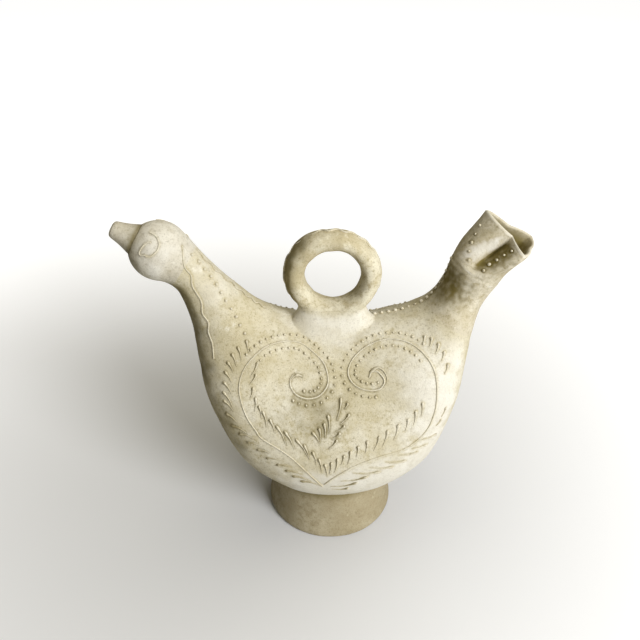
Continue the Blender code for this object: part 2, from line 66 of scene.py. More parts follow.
# %% Stations of the hull
BODY_LENGTH, BODY_HEIGHT, BODY_DEPTH, BELLY_LIFT = 0.204, 0.1534, 0.122, 0.031
HEAD_CENTRE, HEAD_RADIUS, NECK_RADIUS = np.array([-0.1217, 0.2412]), 0.0213, 0.0153
HEAD_TILT, COLLAR_LEAN, MOUTH_LEAN = math.radians(29), math.radians(25), math.radians(35.5)
COLLAR_CENTRE, COLLAR_RADIUS = np.array([0.103, 0.228]), 0.0193
MOUTH_CENTRE, MOUTH_SPREAD = np.array([0.126, 0.255]), 0.027
BODY_STATIONS = (
    ((-1.025, 0.990), (-0.622, 1.138), 0.41, 0.08),
    ((-0.990, 0.815), (-0.480, 1.064), 0.57, 0.18),
    ((-0.946, 0.587), (-0.323, 1.023), 0.75, 0.26),
    ((-0.730, 0.235), (-0.157, 1.005), 0.88, 0.30),
    ((-0.372, 0.046), (-0.059, 1.001), 0.97, 0.34),
    ((0.000, 0.000), (0.000, 1.000), 1.00, 0.35),
    ((0.392, 0.046), (0.069, 1.001), 0.97, 0.34),
    ((0.774, 0.228), (0.176, 1.004), 0.88, 0.30),
    ((0.961, 0.587), (0.363, 1.020), 0.75, 0.26),
    ((1.005, 0.802), (0.529, 1.048), 0.59, 0.18),
    ((1.025, 0.971), (0.681, 1.105), 0.44, 0.08),
)
THROAT_LIFT, NECK_WAIST, TAIL_WAIST = 0.0020, 0.95, 0.88
NECK_AXIS = np.array([math.cos(HEAD_TILT), -math.sin(HEAD_TILT)])
COLLAR_AXIS = np.array([math.sin(COLLAR_LEAN), math.cos(COLLAR_LEAN)])
MOUTH_AXIS = np.array([math.sin(MOUTH_LEAN), math.cos(MOUTH_LEAN)])


def across(axis):
    return np.array([-axis[1], axis[0]])


def on_body(share):
    return np.array([share[0] * BODY_LENGTH / 2, BELLY_LIFT + share[1] * BODY_HEIGHT])


def hull_stations():
    cut = math.sqrt(HEAD_RADIUS**2 - NECK_RADIUS**2)
    head_end = HEAD_CENTRE + NECK_AXIS * cut
    rise = across(NECK_AXIS) * NECK_RADIUS
    rows = [(head_end - rise, head_end + rise, NECK_RADIUS, 0.0)]
    body = []
    for belly, crest, depth, narrowing in BODY_STATIONS:
        body.append((on_body(belly), on_body(crest), depth * BODY_DEPTH / 2, narrowing))
    rise = across(COLLAR_AXIS) * COLLAR_RADIUS
    collar = (COLLAR_CENTRE - rise, COLLAR_CENTRE + rise, COLLAR_RADIUS, 0.0)

    def waist(one, other, share):
        belly, crest = (one[0] + other[0]) / 2, (one[1] + other[1]) / 2
        middle, rise = (belly + crest) / 2, (crest - belly) / 2 * share
        return (middle - rise, middle + rise, (one[2] + other[2]) / 2 * share * share, 0.0)

    rows += [waist(rows[0], body[0], NECK_WAIST), *body, waist(body[-1], collar, TAIL_WAIST), collar]
    for row, lift in ((0, THROAT_LIFT), (1, THROAT_LIFT), (2, THROAT_LIFT / 2)):
        belly, crest = rows[row][:2]
        rows[row] = (belly + (crest - belly) * lift / np.linalg.norm(crest - belly), *rows[row][1:])
    return [np.array(column) for column in zip(*rows)]


HULL = hull_stations()
print("hull stations:", len(HULL[0]))

# %% [markdown]
# ## Rings of the head and the hull
# All rings have the same number of points, so they will stack into one grid of numbers. A
# smooth curve through the stations gives as many rings as are wanted, each one an oval that
# narrows towards the crest. The head is a ball, cut into rings about the axis of the neck.
# Working on whole rows with numpy is much quicker than moving points one at a time.

# %% Rings of the head and the hull
SIDES = 320


def full_turn(count):
    return np.arange(count) * 2 * math.pi / count


TURNS = full_turn(SIDES)


def smooth_through(values, places):
    last = len(values) - 1
    i = np.clip(np.floor(places).astype(int), 0, last - 1)
    t = places - i
    wide = np.concatenate([[2 * values[0] - values[1]], values, [2 * values[-1] - values[-2]]])
    p0, p1, p2, p3 = wide[i], wide[i + 1], wide[i + 2], wide[i + 3]
    if values.ndim == 2:
        t = t[:, None]
    bend = 2 * p0 - 5 * p1 + 4 * p2 - p3
    return 0.5 * (2 * p1 + (p2 - p0) * t + bend * t**2 + (3 * p1 - p0 - 3 * p2 + p3) * t**3)


def hull_rings(places):
    belly, crest, depth, narrowing = (smooth_through(column, places) for column in HULL)
    cos, sin = np.cos(TURNS)[None, :, None], np.sin(TURNS)[None, :]
    flat = ((belly + crest) / 2)[:, None, :] + ((crest - belly) / 2)[:, None, :] * cos
    side = depth[:, None] * sin * (1 - narrowing[:, None] * np.cos(TURNS)[None, :])
    return np.stack([flat[..., 0] + FOOT_X, -side, flat[..., 1]], axis=-1)


def head_rings(angles):
    rings = []
    for angle in angles:
        flat = HEAD_CENTRE - NECK_AXIS * HEAD_RADIUS * math.cos(angle)
        out = HEAD_RADIUS * math.sin(angle)
        up = across(NECK_AXIS)
        x = flat[0] + up[0] * out * np.cos(TURNS) + FOOT_X
        z = flat[1] + up[1] * out * np.cos(TURNS)
        rings.append(np.stack([x, -out * np.sin(TURNS), z], axis=-1))
    return np.array(rings)


print("points in a ring:", SIDES)

# %% [markdown]
# ## The pinched mouth
# The mouth was thrown round and pinched while soft, so its rim runs in and out. The table
# gives the rim at a few angles: how far out it stands and how far back it leans. An eased
# curve joins them, steep at the pinches. Further down, the rings blend from this rim to the
# round collar, and one deep fold on the front twists a little as it climbs. A brush could
# pinch a round rim as well, but a short table is easy to compare with a picture and correct.

# %% Rings of the mouth
MOUTH_RIM = (
    (22, 0.945, -0.075), (85, 0.560, -0.085), (140, 1.055, 0.000),
    (200, 0.630, -0.110), (256, 0.850, -0.220), (300, 0.280, -0.130),
)
FOLD_FOOT, FOLD_TWIST, FOLD_DEPTH, FOLD_WIDTH, FOLD_REACH = 56, 22, 0.0044, 12, 26
FOLD_LIP, LIP_ASIDE, LIP_WIDTH = 0.0022, 27, 11
SLOW_START, FLARE = 0.14, 1.25


def rim_value(degree, column, sharpness=0.6):
    closed = MOUTH_RIM + ((MOUTH_RIM[0][0] + 360, *MOUTH_RIM[0][1:]),)
    degree = degree % 360
    if degree < closed[0][0]:
        degree += 360
    here, there = next(p for p in zip(closed, closed[1:]) if p[0][0] <= degree <= p[1][0])
    ease = (1 - math.cos(math.pi * (degree - here[0]) / (there[0] - here[0]))) / 2
    down = here[1] > there[1]
    ease = ease**sharpness if down else 1 - (1 - ease) ** sharpness
    return here[column] + (there[column] - here[column]) * ease


RIM_RADIUS = np.array([rim_value(-math.degrees(t), 1) for t in TURNS]) * MOUTH_SPREAD
RIM_BACK = np.array([rim_value(-math.degrees(t), 2) for t in TURNS]) * MOUTH_SPREAD


def hump(value, width):
    return np.exp(-((value / width) ** 2))


def fold_turn(share):
    return np.degrees(TURNS) - FOLD_FOOT - FOLD_TWIST * share


def mouth_ring(share, inset=0.0, out=0.0):
    reach = np.linalg.norm(MOUTH_CENTRE - COLLAR_CENTRE)
    gone = 3 * share**2 - 2 * share**3
    bow = COLLAR_AXIS * (share**3 - 2 * share**2 + share) + MOUTH_AXIS * (share**3 - share**2)
    middle = COLLAR_CENTRE + (MOUTH_CENTRE - COLLAR_CENTRE) * gone + bow * reach
    lean = COLLAR_LEAN + (MOUTH_LEAN - COLLAR_LEAN) * share
    axis = np.array([math.sin(lean), math.cos(lean)])
    fold = fold_turn(share)
    eased = share**2 / (share + SLOW_START) * (1 + SLOW_START)
    pace = FLARE + FLARE * hump(fold, FOLD_REACH)
    pinch = FOLD_LIP * hump(fold - LIP_ASIDE, LIP_WIDTH) - FOLD_DEPTH * hump(fold, FOLD_WIDTH)
    radius = COLLAR_RADIUS + (RIM_RADIUS - COLLAR_RADIUS) * (1 - (1 - eased) ** pace) - inset
    radius = radius + pinch * math.sin(math.pi * share)
    back = RIM_BACK * share + out
    x = middle[0] + across(axis)[0] * radius * np.cos(TURNS) + axis[0] * back + FOOT_X
    z = middle[1] + across(axis)[1] * radius * np.cos(TURNS) + axis[1] * back
    return np.stack([x, -radius * np.sin(TURNS), z], axis=-1)


print("rim radius from", round(RIM_RADIUS.min(), 4), "to", round(RIM_RADIUS.max(), 4), "m")

# %% [markdown]
# ## One grid for the whole skin
# Now the rings are stacked. The ball of the head runs into the neck through a soft curve
# that leaves the ball and meets the neck in their own directions. The neck, the body and
# the tail follow the stations, and the mouth comes last. A Boolean union could join the
# lumps, but it leaves a hard crease at each joint. The rows where one member ends and the
# next begins are remembered, because each member becomes a piece of its own.

# %% Stack the rings
THROAT, CHIN = math.radians(9), math.radians(112)
FILLET_END, FILLET_ROWS = 0.70, 20
HEAD_ROWS, NECK_ROWS, BODY_ROWS, TAIL_ROWS, MOUTH_ROWS = 46, 34, 223, 56, 54
NECK_STATION, TAIL_STATION, COLLAR_STATION = 2, 12, 14


def cubic(start, end, start_way, end_way, t):
    point = start * (2 * t**3 - 3 * t**2 + 1) + end * (3 * t**2 - 2 * t**3)
    return point + (start_way * (t**3 - 2 * t**2 + t) + end_way * (t**3 - t**2))


head_part = head_rings(np.linspace(THROAT, CHIN, HEAD_ROWS))
start, end = head_part[-1], hull_rings(np.array([FILLET_END]))[0]
start_way = head_rings([CHIN + 0.01])[0] - start
start_way /= np.linalg.norm(start_way, axis=1, keepdims=True)
end_way = hull_rings(np.array([FILLET_END + 0.01]))[0] - end
end_way /= np.linalg.norm(end_way, axis=1, keepdims=True)
span = np.linalg.norm(end - start, axis=1, keepdims=True)
fillet = np.array([cubic(start, end, start_way * span, end_way * span, t)
                   for t in np.linspace(0, 1, FILLET_ROWS + 2)[1:-1]])
neck_part = hull_rings(np.linspace(FILLET_END, NECK_STATION, NECK_ROWS))
body_part = hull_rings(np.linspace(NECK_STATION, TAIL_STATION, BODY_ROWS))[1:]
tail_part = hull_rings(np.linspace(TAIL_STATION, COLLAR_STATION, TAIL_ROWS))[1:]
mouth_part = np.array([mouth_ring(s) for s in np.linspace(0, 1, MOUTH_ROWS)[1:]])
skin = np.concatenate([head_part, fillet, neck_part, body_part, tail_part, mouth_part])
NECK_ROW = len(head_part) + FILLET_ROWS // 2
BODY_ROW = len(head_part) + FILLET_ROWS + len(neck_part) - 1
TAIL_ROW = BODY_ROW + len(body_part)
MOUTH_ROW = TAIL_ROW + len(tail_part)
print("skin grid:", skin.shape)

# %% [markdown]
# ## The touch of the hand
# Thrown and pressed clay is never even. A slow noise moves the skin by a few tenths of a
# millimetre along its normal, and a shallow groove with fine turning marks runs round the
# collar, where the mouth was luted on. A Displace modifier could do the same, but the moved
# grid is needed at once: for the normals, and to tell how hollow each place is, by comparing
# it with a blurred copy of itself. A crease lies lower than its own blur.

# %% Unevenness, normals and hollows
SLOW_SCALE, SLOW_SWELL = 26.0, 0.00070
QUICK_SCALE, QUICK_SWELL, QUICK_START = 95.0, 0.00024, Vector((7, 3, 1))
COLLAR_GROOVE, GROOVE_ROWS = 0.0002, 2.5
TURNING_MARK, MARK_PITCH, MARK_ROWS = 0.00008, 1.25, 9
BLUR_ROWS, BLUR_COLUMNS = 5, 4


def grid_normals(grid):
    around = np.roll(grid, -1, axis=1) - np.roll(grid, 1, axis=1)
    along = np.gradient(grid, axis=0)
    normal = np.cross(around, along)
    return normal / np.maximum(np.linalg.norm(normal, axis=-1, keepdims=True), 1e-12)


def unevenness(point):
    slow = noise.noise(Vector(point) * SLOW_SCALE) * SLOW_SWELL
    quick = noise.noise(Vector(point) * QUICK_SCALE + QUICK_START) * QUICK_SWELL
    return slow + quick


def blurred(grid, rows, columns):
    total = np.zeros_like(grid)
    padded = np.concatenate([grid[:1].repeat(rows, 0), grid, grid[-1:].repeat(rows, 0)])
    sideways = range(-columns, columns + 1, 2)
    for r in range(2 * rows + 1):
        for c in sideways:
            total += np.roll(padded[r:r + len(grid)], c, axis=1)
    return total / ((2 * rows + 1) * len(sideways))


normals = grid_normals(skin)
shift = np.array([[unevenness(p) for p in row] for row in skin])
from_collar = np.arange(len(skin)) - MOUTH_ROW
shift -= COLLAR_GROOVE * hump(from_collar, GROOVE_ROWS)[:, None]
shift += (TURNING_MARK * np.sin(from_collar * MARK_PITCH) * hump(from_collar, MARK_ROWS))[:, None]
skin = skin + normals * shift[..., None]
normals = grid_normals(skin)
# Dirt sits in the hollows found here, and they get painted shade as well.
hollow = np.einsum("ijk,ijk->ij", blurred(skin, BLUR_ROWS, BLUR_COLUMNS) - skin, normals) * 1000
print("hollows from", round(hollow.min(), 2), "to", round(hollow.max(), 2), "mm")

# %% [markdown]
# ## Where dirt, chalk, painted shade and painted light sit
# One number for each point of the skin steers the colour later on: above nought the clay
# gets dirt and painted shade, below nought chalk and painted light. The hollows are the start
# of it: dirt sits in them, and they get painted shade. Then come the habits of use: hands have
# rubbed the back beside the ring, the crown of the head is stained, and grime speckles the
# tail and the mouth. Painted shade darkens the left and low side, the middle of the body, the
# side of the tail turned from the light and the groove where the beak sits. Painted light
# brightens the right side, the low belly and the front panel of the mouth. The folds of the
# mouth are darkened. All this could be painted by hand. Written as rules, it comes out the
# same each time. A step rises from 0 to 1 over a width, and a hump fades to both sides of a
# place.

# %% Dirt, chalk, painted shade and painted light over the skin


def step(value, width):
    return np.clip(value / width, 0, 1)


TAIL_SHADE, FOLD_DARKENING, FOLD_EDGE_DARKENING, FAR_FOLD_DARKENING = 0.46, 1.0, 0.42, 0.34
GRIME_DIRT, SEAT_SHADE, CROWN_DIRT, LEFT_LOW_SHADE, MIDDLE_SHADE = 0.20, 1.0, 0.22, 0.50, 0.36
BACK_CHALK, LOBE_LIGHT, RIM_CHALK = 0.32, 0.40, 0.30
RIGHT_SIDE_LIGHT, BELLY_LIGHT, CHEST_CHALK = 0.36, 0.60, 0.26
GRIME_SCALE, BEAK_SEAT_ROW, MOUTH_LEAST = 330.0, 9.5, -0.15
rows = np.arange(len(skin))[:, None]
out_x, out_z = normals[..., 0], normals[..., 2]
from_foot, height = skin[..., 0] - FOOT_X, skin[..., 2]
on_tail = step(rows - TAIL_ROW + 25, 50) * step(MOUTH_ROW + 12 - rows, 24)
# Painted shade: the side of the tail turned from the light is darker.
hollow += TAIL_SHADE * on_tail * step(0.28 - out_x, 0.95)
beside_ring = np.hypot(from_foot / 0.040, skin[..., 1] / 0.026)
hollow -= BACK_CHALK * np.exp(-(beside_ring**4)) * (height > 0.15)
up_mouth = step(rows - MOUTH_ROW, len(skin) - 1 - MOUTH_ROW)
bulge = np.sin(np.pi * up_mouth)
fold_place = fold_turn(up_mouth)
hollow = np.where(up_mouth > 0, np.maximum(hollow, MOUTH_LEAST), hollow)
# The folds of the mouth are darkened.
hollow += FOLD_DARKENING * hump(fold_place - 5, 12) * bulge**0.9
hollow += FOLD_EDGE_DARKENING * hump(fold_place - 24, 16) * bulge**0.7
hollow += FAR_FOLD_DARKENING * hump(fold_place + 62, 12) * np.minimum(up_mouth * 4, 1)
grime = np.array([[noise.noise(Vector(p) * GRIME_SCALE) for p in row] for row in skin[TAIL_ROW:]])
hollow[TAIL_ROW:] += GRIME_DIRT * grime * step(rows[TAIL_ROW:] - TAIL_ROW, 30)
# Painted light on the front panel of the mouth, where the light falls.
hollow -= LOBE_LIGHT * hump(fold_place + 36, 26) * bulge**0.5
hollow[-1] -= RIM_CHALK
# Painted shade in the groove where the beak sits.
hollow += SEAT_SHADE * hump(rows - BEAK_SEAT_ROW, 2.6)
hollow += CROWN_DIRT * step(out_z - 0.45, 0.4) * step(NECK_ROW - 4 - rows, 10)
# Painted light on the right side, which faces the light.
sunny = step(from_foot - 0.03, 0.05) * step(TAIL_ROW + 20 - rows, 40) * step(0.90 - out_x, 0.30)
# Painted shade on the left and low side, turned from the light.
shaded = step(-0.08 - out_x, 0.45) * step(0.40 - out_z, 0.40) * step(TAIL_ROW - rows, 30)
# Painted light on the low belly, standing in for light thrown up from the floor.
low_belly = step(0.100 - height, 0.036) * step(out_x + 0.55, 0.4)
chest = step(BODY_ROW + 10 - rows, 30)
# Painted shade on the middle of the body, away from the light on the right.
middle = hump(from_foot + 0.012, 0.030) * hump(height - 0.132, 0.028)
hollow += LEFT_LOW_SHADE * shaded + MIDDLE_SHADE * middle
hollow -= RIGHT_SIDE_LIGHT * sunny + BELLY_LIGHT * low_belly + CHEST_CHALK * chest * (1 - shaded)
print("dirt up to", round(hollow.max(), 2), "and chalk down to", round(hollow.min(), 2))

# %% [markdown]
# ## Clay
# The clay is a pale buff, chalky where it has been rubbed, and olive brown where damp and
# dust have sat; the olive brown also paints shade, and the chalk also paints light. Three
# effects serve all the clay materials, so each one is a shader node group with its own inputs:
# mottling of the colour, dirt and painted shade, and sandy grain for the bump and the
# roughness. They read Object coordinates, and all pieces sit at the origin, so a pattern runs
# on from one piece to the next. A few helpers come first: they add a node, set its inputs and
# wire it in one line.

# %% Helpers that build node trees
FLOAT, COLOUR = "NodeSocketFloat", "NodeSocketColor"
WHOLE, SHAPE = "NodeSocketInt", "NodeSocketGeometry"
OBJECT, MATERIAL = "NodeSocketObject", "NodeSocketMaterial"


def new_group(name, inputs, outputs, tree_kind="ShaderNodeTree"):
    group = bpy.data.node_groups.new(name, tree_kind)
    for label, kind, value in inputs:
        socket = group.interface.new_socket(name=label, in_out="INPUT", socket_type=kind)
        if value is not None:
            socket.default_value = value
    for label, kind in outputs:
        group.interface.new_socket(name=label, in_out="OUTPUT", socket_type=kind)
    source, sink = group.nodes.new("NodeGroupInput"), group.nodes.new("NodeGroupOutput")
    return group, source, sink


def feed(tree, socket, value):
    if isinstance(value, bpy.types.NodeSocket):
        tree.links.new(value, socket)
    else:
        socket.default_value = value


def add(tree, kind, settings=None, **links):
    node = tree.nodes.new(kind)
    for key, value in (settings or {}).items():
        setattr(node, key, value)
    for key, value in links.items():
        by_number = key[0] == "i" and key[1:].isdigit()
        feed(tree, node.inputs[int(key[1:]) if by_number else key.replace("_", " ")], value)
    return node


def maths(tree, operation, *values):
    node = add(tree, "ShaderNodeMath", {"operation": operation})
    for socket, value in zip(node.inputs, values):
        feed(tree, socket, value)
    return node.outputs[0]


def clouds(tree, **values):
    place = add(tree, "ShaderNodeTexCoord").outputs["Object"]
    return add(tree, "ShaderNodeTexNoise", None, Vector=place, **values).outputs[0]


def ramp(tree, value, low, high):
    return add(tree, "ShaderNodeMapRange", {"interpolation_type": "SMOOTHSTEP"},
               Value=value, From_Min=low, From_Max=high).outputs["Result"]


def blend(tree, factor, one, other):
    node = add(tree, "ShaderNodeMix", {"data_type": "RGBA"}, i0=factor, i6=one, i7=other)
    return node.outputs[2]


print("kinds of sockets:", FLOAT, COLOUR, WHOLE, SHAPE, OBJECT, MATERIAL)

# %% [markdown]
# ## Mottled colour
# Fired clay is never one colour. Slow clouds and smaller blotches mix a pale and a buff tone,
# two fine noises speckle them like sand, and a few large patches are stained. Each noise is
# turned into a mask by a ramp, which decides how much of the clay it covers. A picture of
# clay could be wrapped round the jug, but noise in space needs no file and has no seams.

# %% Mottled colour
SPECK_SHARE, SAND_SHARE = 0.46, 0.50


def mottle_group():
    group, source, sink = new_group("clay_mottle", [
        ("Pale", COLOUR, (0.8, 0.8, 0.7, 1)), ("Buff", COLOUR, (0.6, 0.5, 0.4, 1)),
        ("Stain", COLOUR, (0.3, 0.25, 0.15, 1)), ("Cloud Scale", FLOAT, 22.0),
        ("Stain Amount", FLOAT, 0.35)], [("Color", COLOUR)])
    pale, buff, stain, cloud_scale, stain_amount = source.outputs[:5]
    cloud = clouds(group, Scale=cloud_scale, Detail=5.0, Roughness=0.6)
    blotch = clouds(group, Scale=105.0, Detail=6.0, Roughness=0.72)
    speck = clouds(group, Scale=420.0, Detail=3.0, Roughness=0.7)
    sand = clouds(group, Scale=950.0, Detail=2.0, Roughness=0.6)
    patch = clouds(group, Scale=11.0, Detail=4.0, Distortion=0.6)
    colour = blend(group, ramp(group, cloud, 0.30, 0.72), pale, buff)
    colour = blend(group, ramp(group, blotch, 0.44, 0.66), colour, buff)
    colour = blend(group, ramp(group, blotch, 0.44, 0.28), colour, pale)
    for fine, low, high, share in ((speck, 0.52, 0.78, SPECK_SHARE), (sand, 0.50, 0.80, SAND_SHARE)):
        speckled = blend(group, ramp(group, fine, low, high), colour, stain)
        colour = blend(group, share, colour, speckled)
    amount = maths(group, "MULTIPLY", ramp(group, patch, 0.55, 0.78), stain_amount)
    group.links.new(blend(group, amount, colour, stain), sink.inputs["Color"])
    return group


MOTTLE = mottle_group()
print("shader group:", MOTTLE.name, "with", len(MOTTLE.nodes), "nodes")

# %% [markdown]
# ## Dirt and painted shade, chalk and painted light
# The number made for each point of the skin is read back from the mesh as an attribute. Its
# upper part becomes a mask for olive dirt and painted shade, broken up by a noise so that it
# never ends in a clean line, and its lower part becomes a mask for chalk and painted light.

# %% Dirt and painted shade, chalk and painted light


def dirt_and_shade_group():
    # The Dirt colour and amount also paint shade, and the Chalk colour and amount also paint light.
    group, source, sink = new_group("hollow_dirt", [
        ("Color", COLOUR, (0.6, 0.5, 0.4, 1)), ("Dirt", COLOUR, (0.16, 0.125, 0.036, 1)),
        ("Chalk", COLOUR, (0.85, 0.83, 0.76, 1)), ("Dirt Amount", FLOAT, 0.8),
        ("Chalk Amount", FLOAT, 0.6)], [("Color", COLOUR)])
    colour, dirt, chalk, grime_and_shade_amount, chalk_and_light_amount = source.outputs[:5]
    hollow_value = add(group, "ShaderNodeAttribute", {"attribute_name": "hollow"}).outputs["Fac"]
    broken = clouds(group, Scale=150.0, Detail=4.0)
    mask = maths(group, "MULTIPLY", ramp(group, hollow_value, 0.02, 0.60), ramp(group, broken, -0.15, 0.55))
    dirtied_and_shaded = blend(group, maths(group, "MULTIPLY", mask, grime_and_shade_amount), colour, dirt)
    rubbed_and_lit = maths(group, "MULTIPLY", ramp(group, hollow_value, -0.05, -0.5), chalk_and_light_amount)
    group.links.new(blend(group, rubbed_and_lit, dirtied_and_shaded, chalk), sink.inputs["Color"])
    return group


DIRT_AND_SHADE = dirt_and_shade_group()
print("shader group:", DIRT_AND_SHADE.name, "with", len(DIRT_AND_SHADE.nodes), "nodes")

# %% [markdown]
# ## Sandy grain
# Close up, the clay is sandy, with wipe marks and a few pits where grains fell out. These
# are far too fine to model, so they go into a height for the bump. The wipe marks also make
# the surface a little less rough in places.

# %% Sandy grain
WIPE_HEIGHT, PIT_HEIGHT = 1.4, 0.35


def grain_group():
    group, source, sink = new_group("sandy_grain", [("Strength", FLOAT, 0.5)], [
        ("Height", FLOAT), ("Roughness", FLOAT)])
    place = add(group, "ShaderNodeTexCoord").outputs["Object"]
    sand = clouds(group, Scale=900.0, Detail=3.0, Roughness=0.65)
    wipe = clouds(group, Scale=170.0, Detail=4.0)
    pits = add(group, "ShaderNodeTexVoronoi", None, Vector=place, Scale=260.0, Randomness=1.0).outputs[0]
    height = maths(group, "MULTIPLY_ADD", wipe, WIPE_HEIGHT, sand)
    height = maths(group, "MULTIPLY_ADD", ramp(group, pits, 0.0, 0.16), PIT_HEIGHT, height)
    height = maths(group, "MULTIPLY", height, source.outputs["Strength"])
    rough = add(group, "ShaderNodeMapRange", None, Value=wipe, To_Min=0.78, To_Max=0.97)
    group.links.new(height, sink.inputs["Height"])
    group.links.new(rough.outputs[0], sink.inputs["Roughness"])
    return group


GRAIN = grain_group()
print("shader group:", GRAIN.name, "with", len(GRAIN.nodes), "nodes")

# %% [markdown]
# ## One material for each member
# Every member gets the same three groups with its own colours. The foot is greyer and
# browner than the body, the ring is stained by hands, the pad under it was wiped with a wet
# finger and dried pale, and the slip is a little paler than the clay under it. One function
# builds them all, so that they differ only in the numbers given to it.

# %% Clay materials
CLAY_SHEEN, BUMP_STRENGTH, BUMP_DEPTH = 0.18, 0.70, 0.0007


def clay(name, pale, buff, stain, stain_amount=0.35, dirt=0.8, chalk=0.5, grain=0.5, cloud=22.0):
    material = bpy.data.materials.new(name)
    material.use_nodes = True
    tree = material.node_tree
    shader = tree.nodes["Principled BSDF"]
    shader.inputs["Specular IOR Level"].default_value = CLAY_SHEEN
    mottle = add(tree, "ShaderNodeGroup", {"node_tree": MOTTLE}, Pale=(*pale, 1), Buff=(*buff, 1),
                 Stain=(*stain, 1), Cloud_Scale=cloud, Stain_Amount=stain_amount)
    dirtied_and_shaded = add(tree, "ShaderNodeGroup", {"node_tree": DIRT_AND_SHADE}, Color=mottle.outputs["Color"],
                Dirt_Amount=dirt, Chalk_Amount=chalk)
    sandy = add(tree, "ShaderNodeGroup", {"node_tree": GRAIN}, Strength=grain)
    bump = add(tree, "ShaderNodeBump", None, Strength=BUMP_STRENGTH, Distance=BUMP_DEPTH,
               Height=sandy.outputs["Height"])
    tree.links.new(dirtied_and_shaded.outputs["Color"], shader.inputs["Base Color"])
    tree.links.new(sandy.outputs["Roughness"], shader.inputs["Roughness"])
    tree.links.new(bump.outputs["Normal"], shader.inputs["Normal"])
    return material


PALE, BUFF, STAIN = (0.71, 0.665, 0.525), (0.545, 0.482, 0.31), (0.20, 0.155, 0.065)
body_clay = clay("buff_clay", PALE, BUFF, STAIN)
head_clay = clay("head_clay", (0.70, 0.66, 0.545), (0.545, 0.495, 0.37), STAIN, chalk=0.3)
tail_clay = clay("tail_clay", (0.71, 0.66, 0.52), (0.52, 0.455, 0.30), STAIN, stain_amount=0.5, dirt=1.0)
foot_clay = clay("foot_clay", (0.48, 0.42, 0.28), (0.36, 0.30, 0.18), STAIN, stain_amount=0.3)
ring_clay = clay("ring_clay", (0.74, 0.69, 0.52), (0.51, 0.44, 0.27), STAIN, stain_amount=0.8, cloud=34.0)
pad_clay = clay("wiped_clay", PALE, BUFF, STAIN)
slip_clay = clay("trailed_slip", (0.70, 0.655, 0.52), (0.565, 0.505, 0.345), STAIN, stain_amount=0.2,
                 chalk=0.25, grain=0.4)
print("clay materials made: 7")

# %% [markdown]
# ## From rings to a piece
# A closed row of rings becomes a mesh: each point is joined to its neighbours in its own ring
# and in the next. The faces are then turned outwards, and the number for dirt and chalk goes
# on to the mesh as an attribute. Every piece is tied to the frame in the same way.

# %% Helpers that make meshes


def finish_piece(piece, slot, *nodes):
    bpy.context.scene.collection.objects.link(piece)
    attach(piece, "root")
    if nodes:
        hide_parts(*nodes)
    return piece


def grid_faces(total, count, looped=True):
    faces = []
    for r in range(total if looped else total - 1):
        here, there = r * count, ((r + 1) % total) * count
        for c in range(count):
            d = (c + 1) % count
            faces.append((here + c, here + d, there + d, there + c))
    return faces


def loop_mesh(name, rings, material):
    points = np.concatenate([np.asarray(ring) for ring in rings])
    mesh = bpy.data.meshes.new(name)
    mesh.from_pydata([tuple(p) for p in points], [], grid_faces(len(rings), len(rings[0])))
    work = bmesh.new()
    work.from_mesh(mesh)
    bmesh.ops.recalc_face_normals(work, faces=work.faces)
    work.to_mesh(mesh)
    work.free()
    mesh.shade_smooth()
    mesh.materials.append(material)
    return mesh


def set_hollow(mesh, values):
    layer = mesh.attributes.new("hollow", "FLOAT", "POINT")
    layer.data.foreach_set("value", np.asarray(values, dtype=np.float32))


print("faces of a small closed grid:", len(grid_faces(3, 4)))

# %% [markdown]
# ## Shells
# A shell is the outer skin, an inner skin one wall further in, and a strip at each end that
# joins them, so it is a closed solid that shows a real thickness at its openings. Solidify
# could add the wall, but this way the inner skin gets by with far fewer points. The normals
# of the whole grid are given to the separate shells, so no shading line shows where two meet.
# The inner skin is darkened with painted shade.

# %% Head, neck, body and tail
THIN_WALL, BODY_WALL, INSIDE_SHADE = 0.004, 0.005, 0.36
INSIDE_EVERY, INSIDE_LEAST = 8, 6


def shell(name, first, last, wall, material, slot, nodes, inner=None, inner_shade=INSIDE_SHADE):
    outer = skin[first:last + 1]
    if inner is None:
        rows = np.linspace(last, first, max((last - first) // INSIDE_EVERY, INSIDE_LEAST)).astype(int)
        inner = skin[rows] - normals[rows] * wall
    mesh = loop_mesh(name, list(outer) + list(inner), material)
    mesh.update()
    lean = np.zeros(len(mesh.vertices) * 3)
    mesh.vertex_normals.foreach_get("vector", lean)
    lean = lean.reshape(-1, 3)
    own = outer.shape[0] * SIDES
    lean[:own] = normals[first:last + 1].reshape(-1, 3)
    mesh.normals_split_custom_set_from_vertices([tuple(n) for n in lean])
    values = np.zeros(len(mesh.vertices))
    values[:own] = hollow[first:last + 1].reshape(-1)
    # Painted shade on the inner skin.
    values[own:] = inner_shade
    set_hollow(mesh, values)
    return finish_piece(bpy.data.objects.new(name, mesh), slot, *nodes)


head = shell("head", 0, NECK_ROW, THIN_WALL, head_clay, "head_clay", ["head_shell"])
neck = shell("neck", NECK_ROW, BODY_ROW, THIN_WALL, body_clay, "neck_clay", ["neck_tube"])
body = shell("body", BODY_ROW, TAIL_ROW, BODY_WALL, body_clay, "body_clay", ["belly_bowl", "back_dome"])
tail = shell("tail", TAIL_ROW, MOUTH_ROW, THIN_WALL, tail_clay, "tail_clay", ["tail_tube"])
print("shells:", [p.name for p in (head, neck, body, tail)])

# %% [markdown]
# ## The lip and the inside of the mouth
# The mouth is the one place where the inside shows. Its wall is thin and its lip is round,
# so the inner skin starts with three rings that bend over the rim, and then the rings of the
# mouth are used again, one wall further in. The lip is rubbed, and painted shade darkens the
# inside more the deeper it goes.

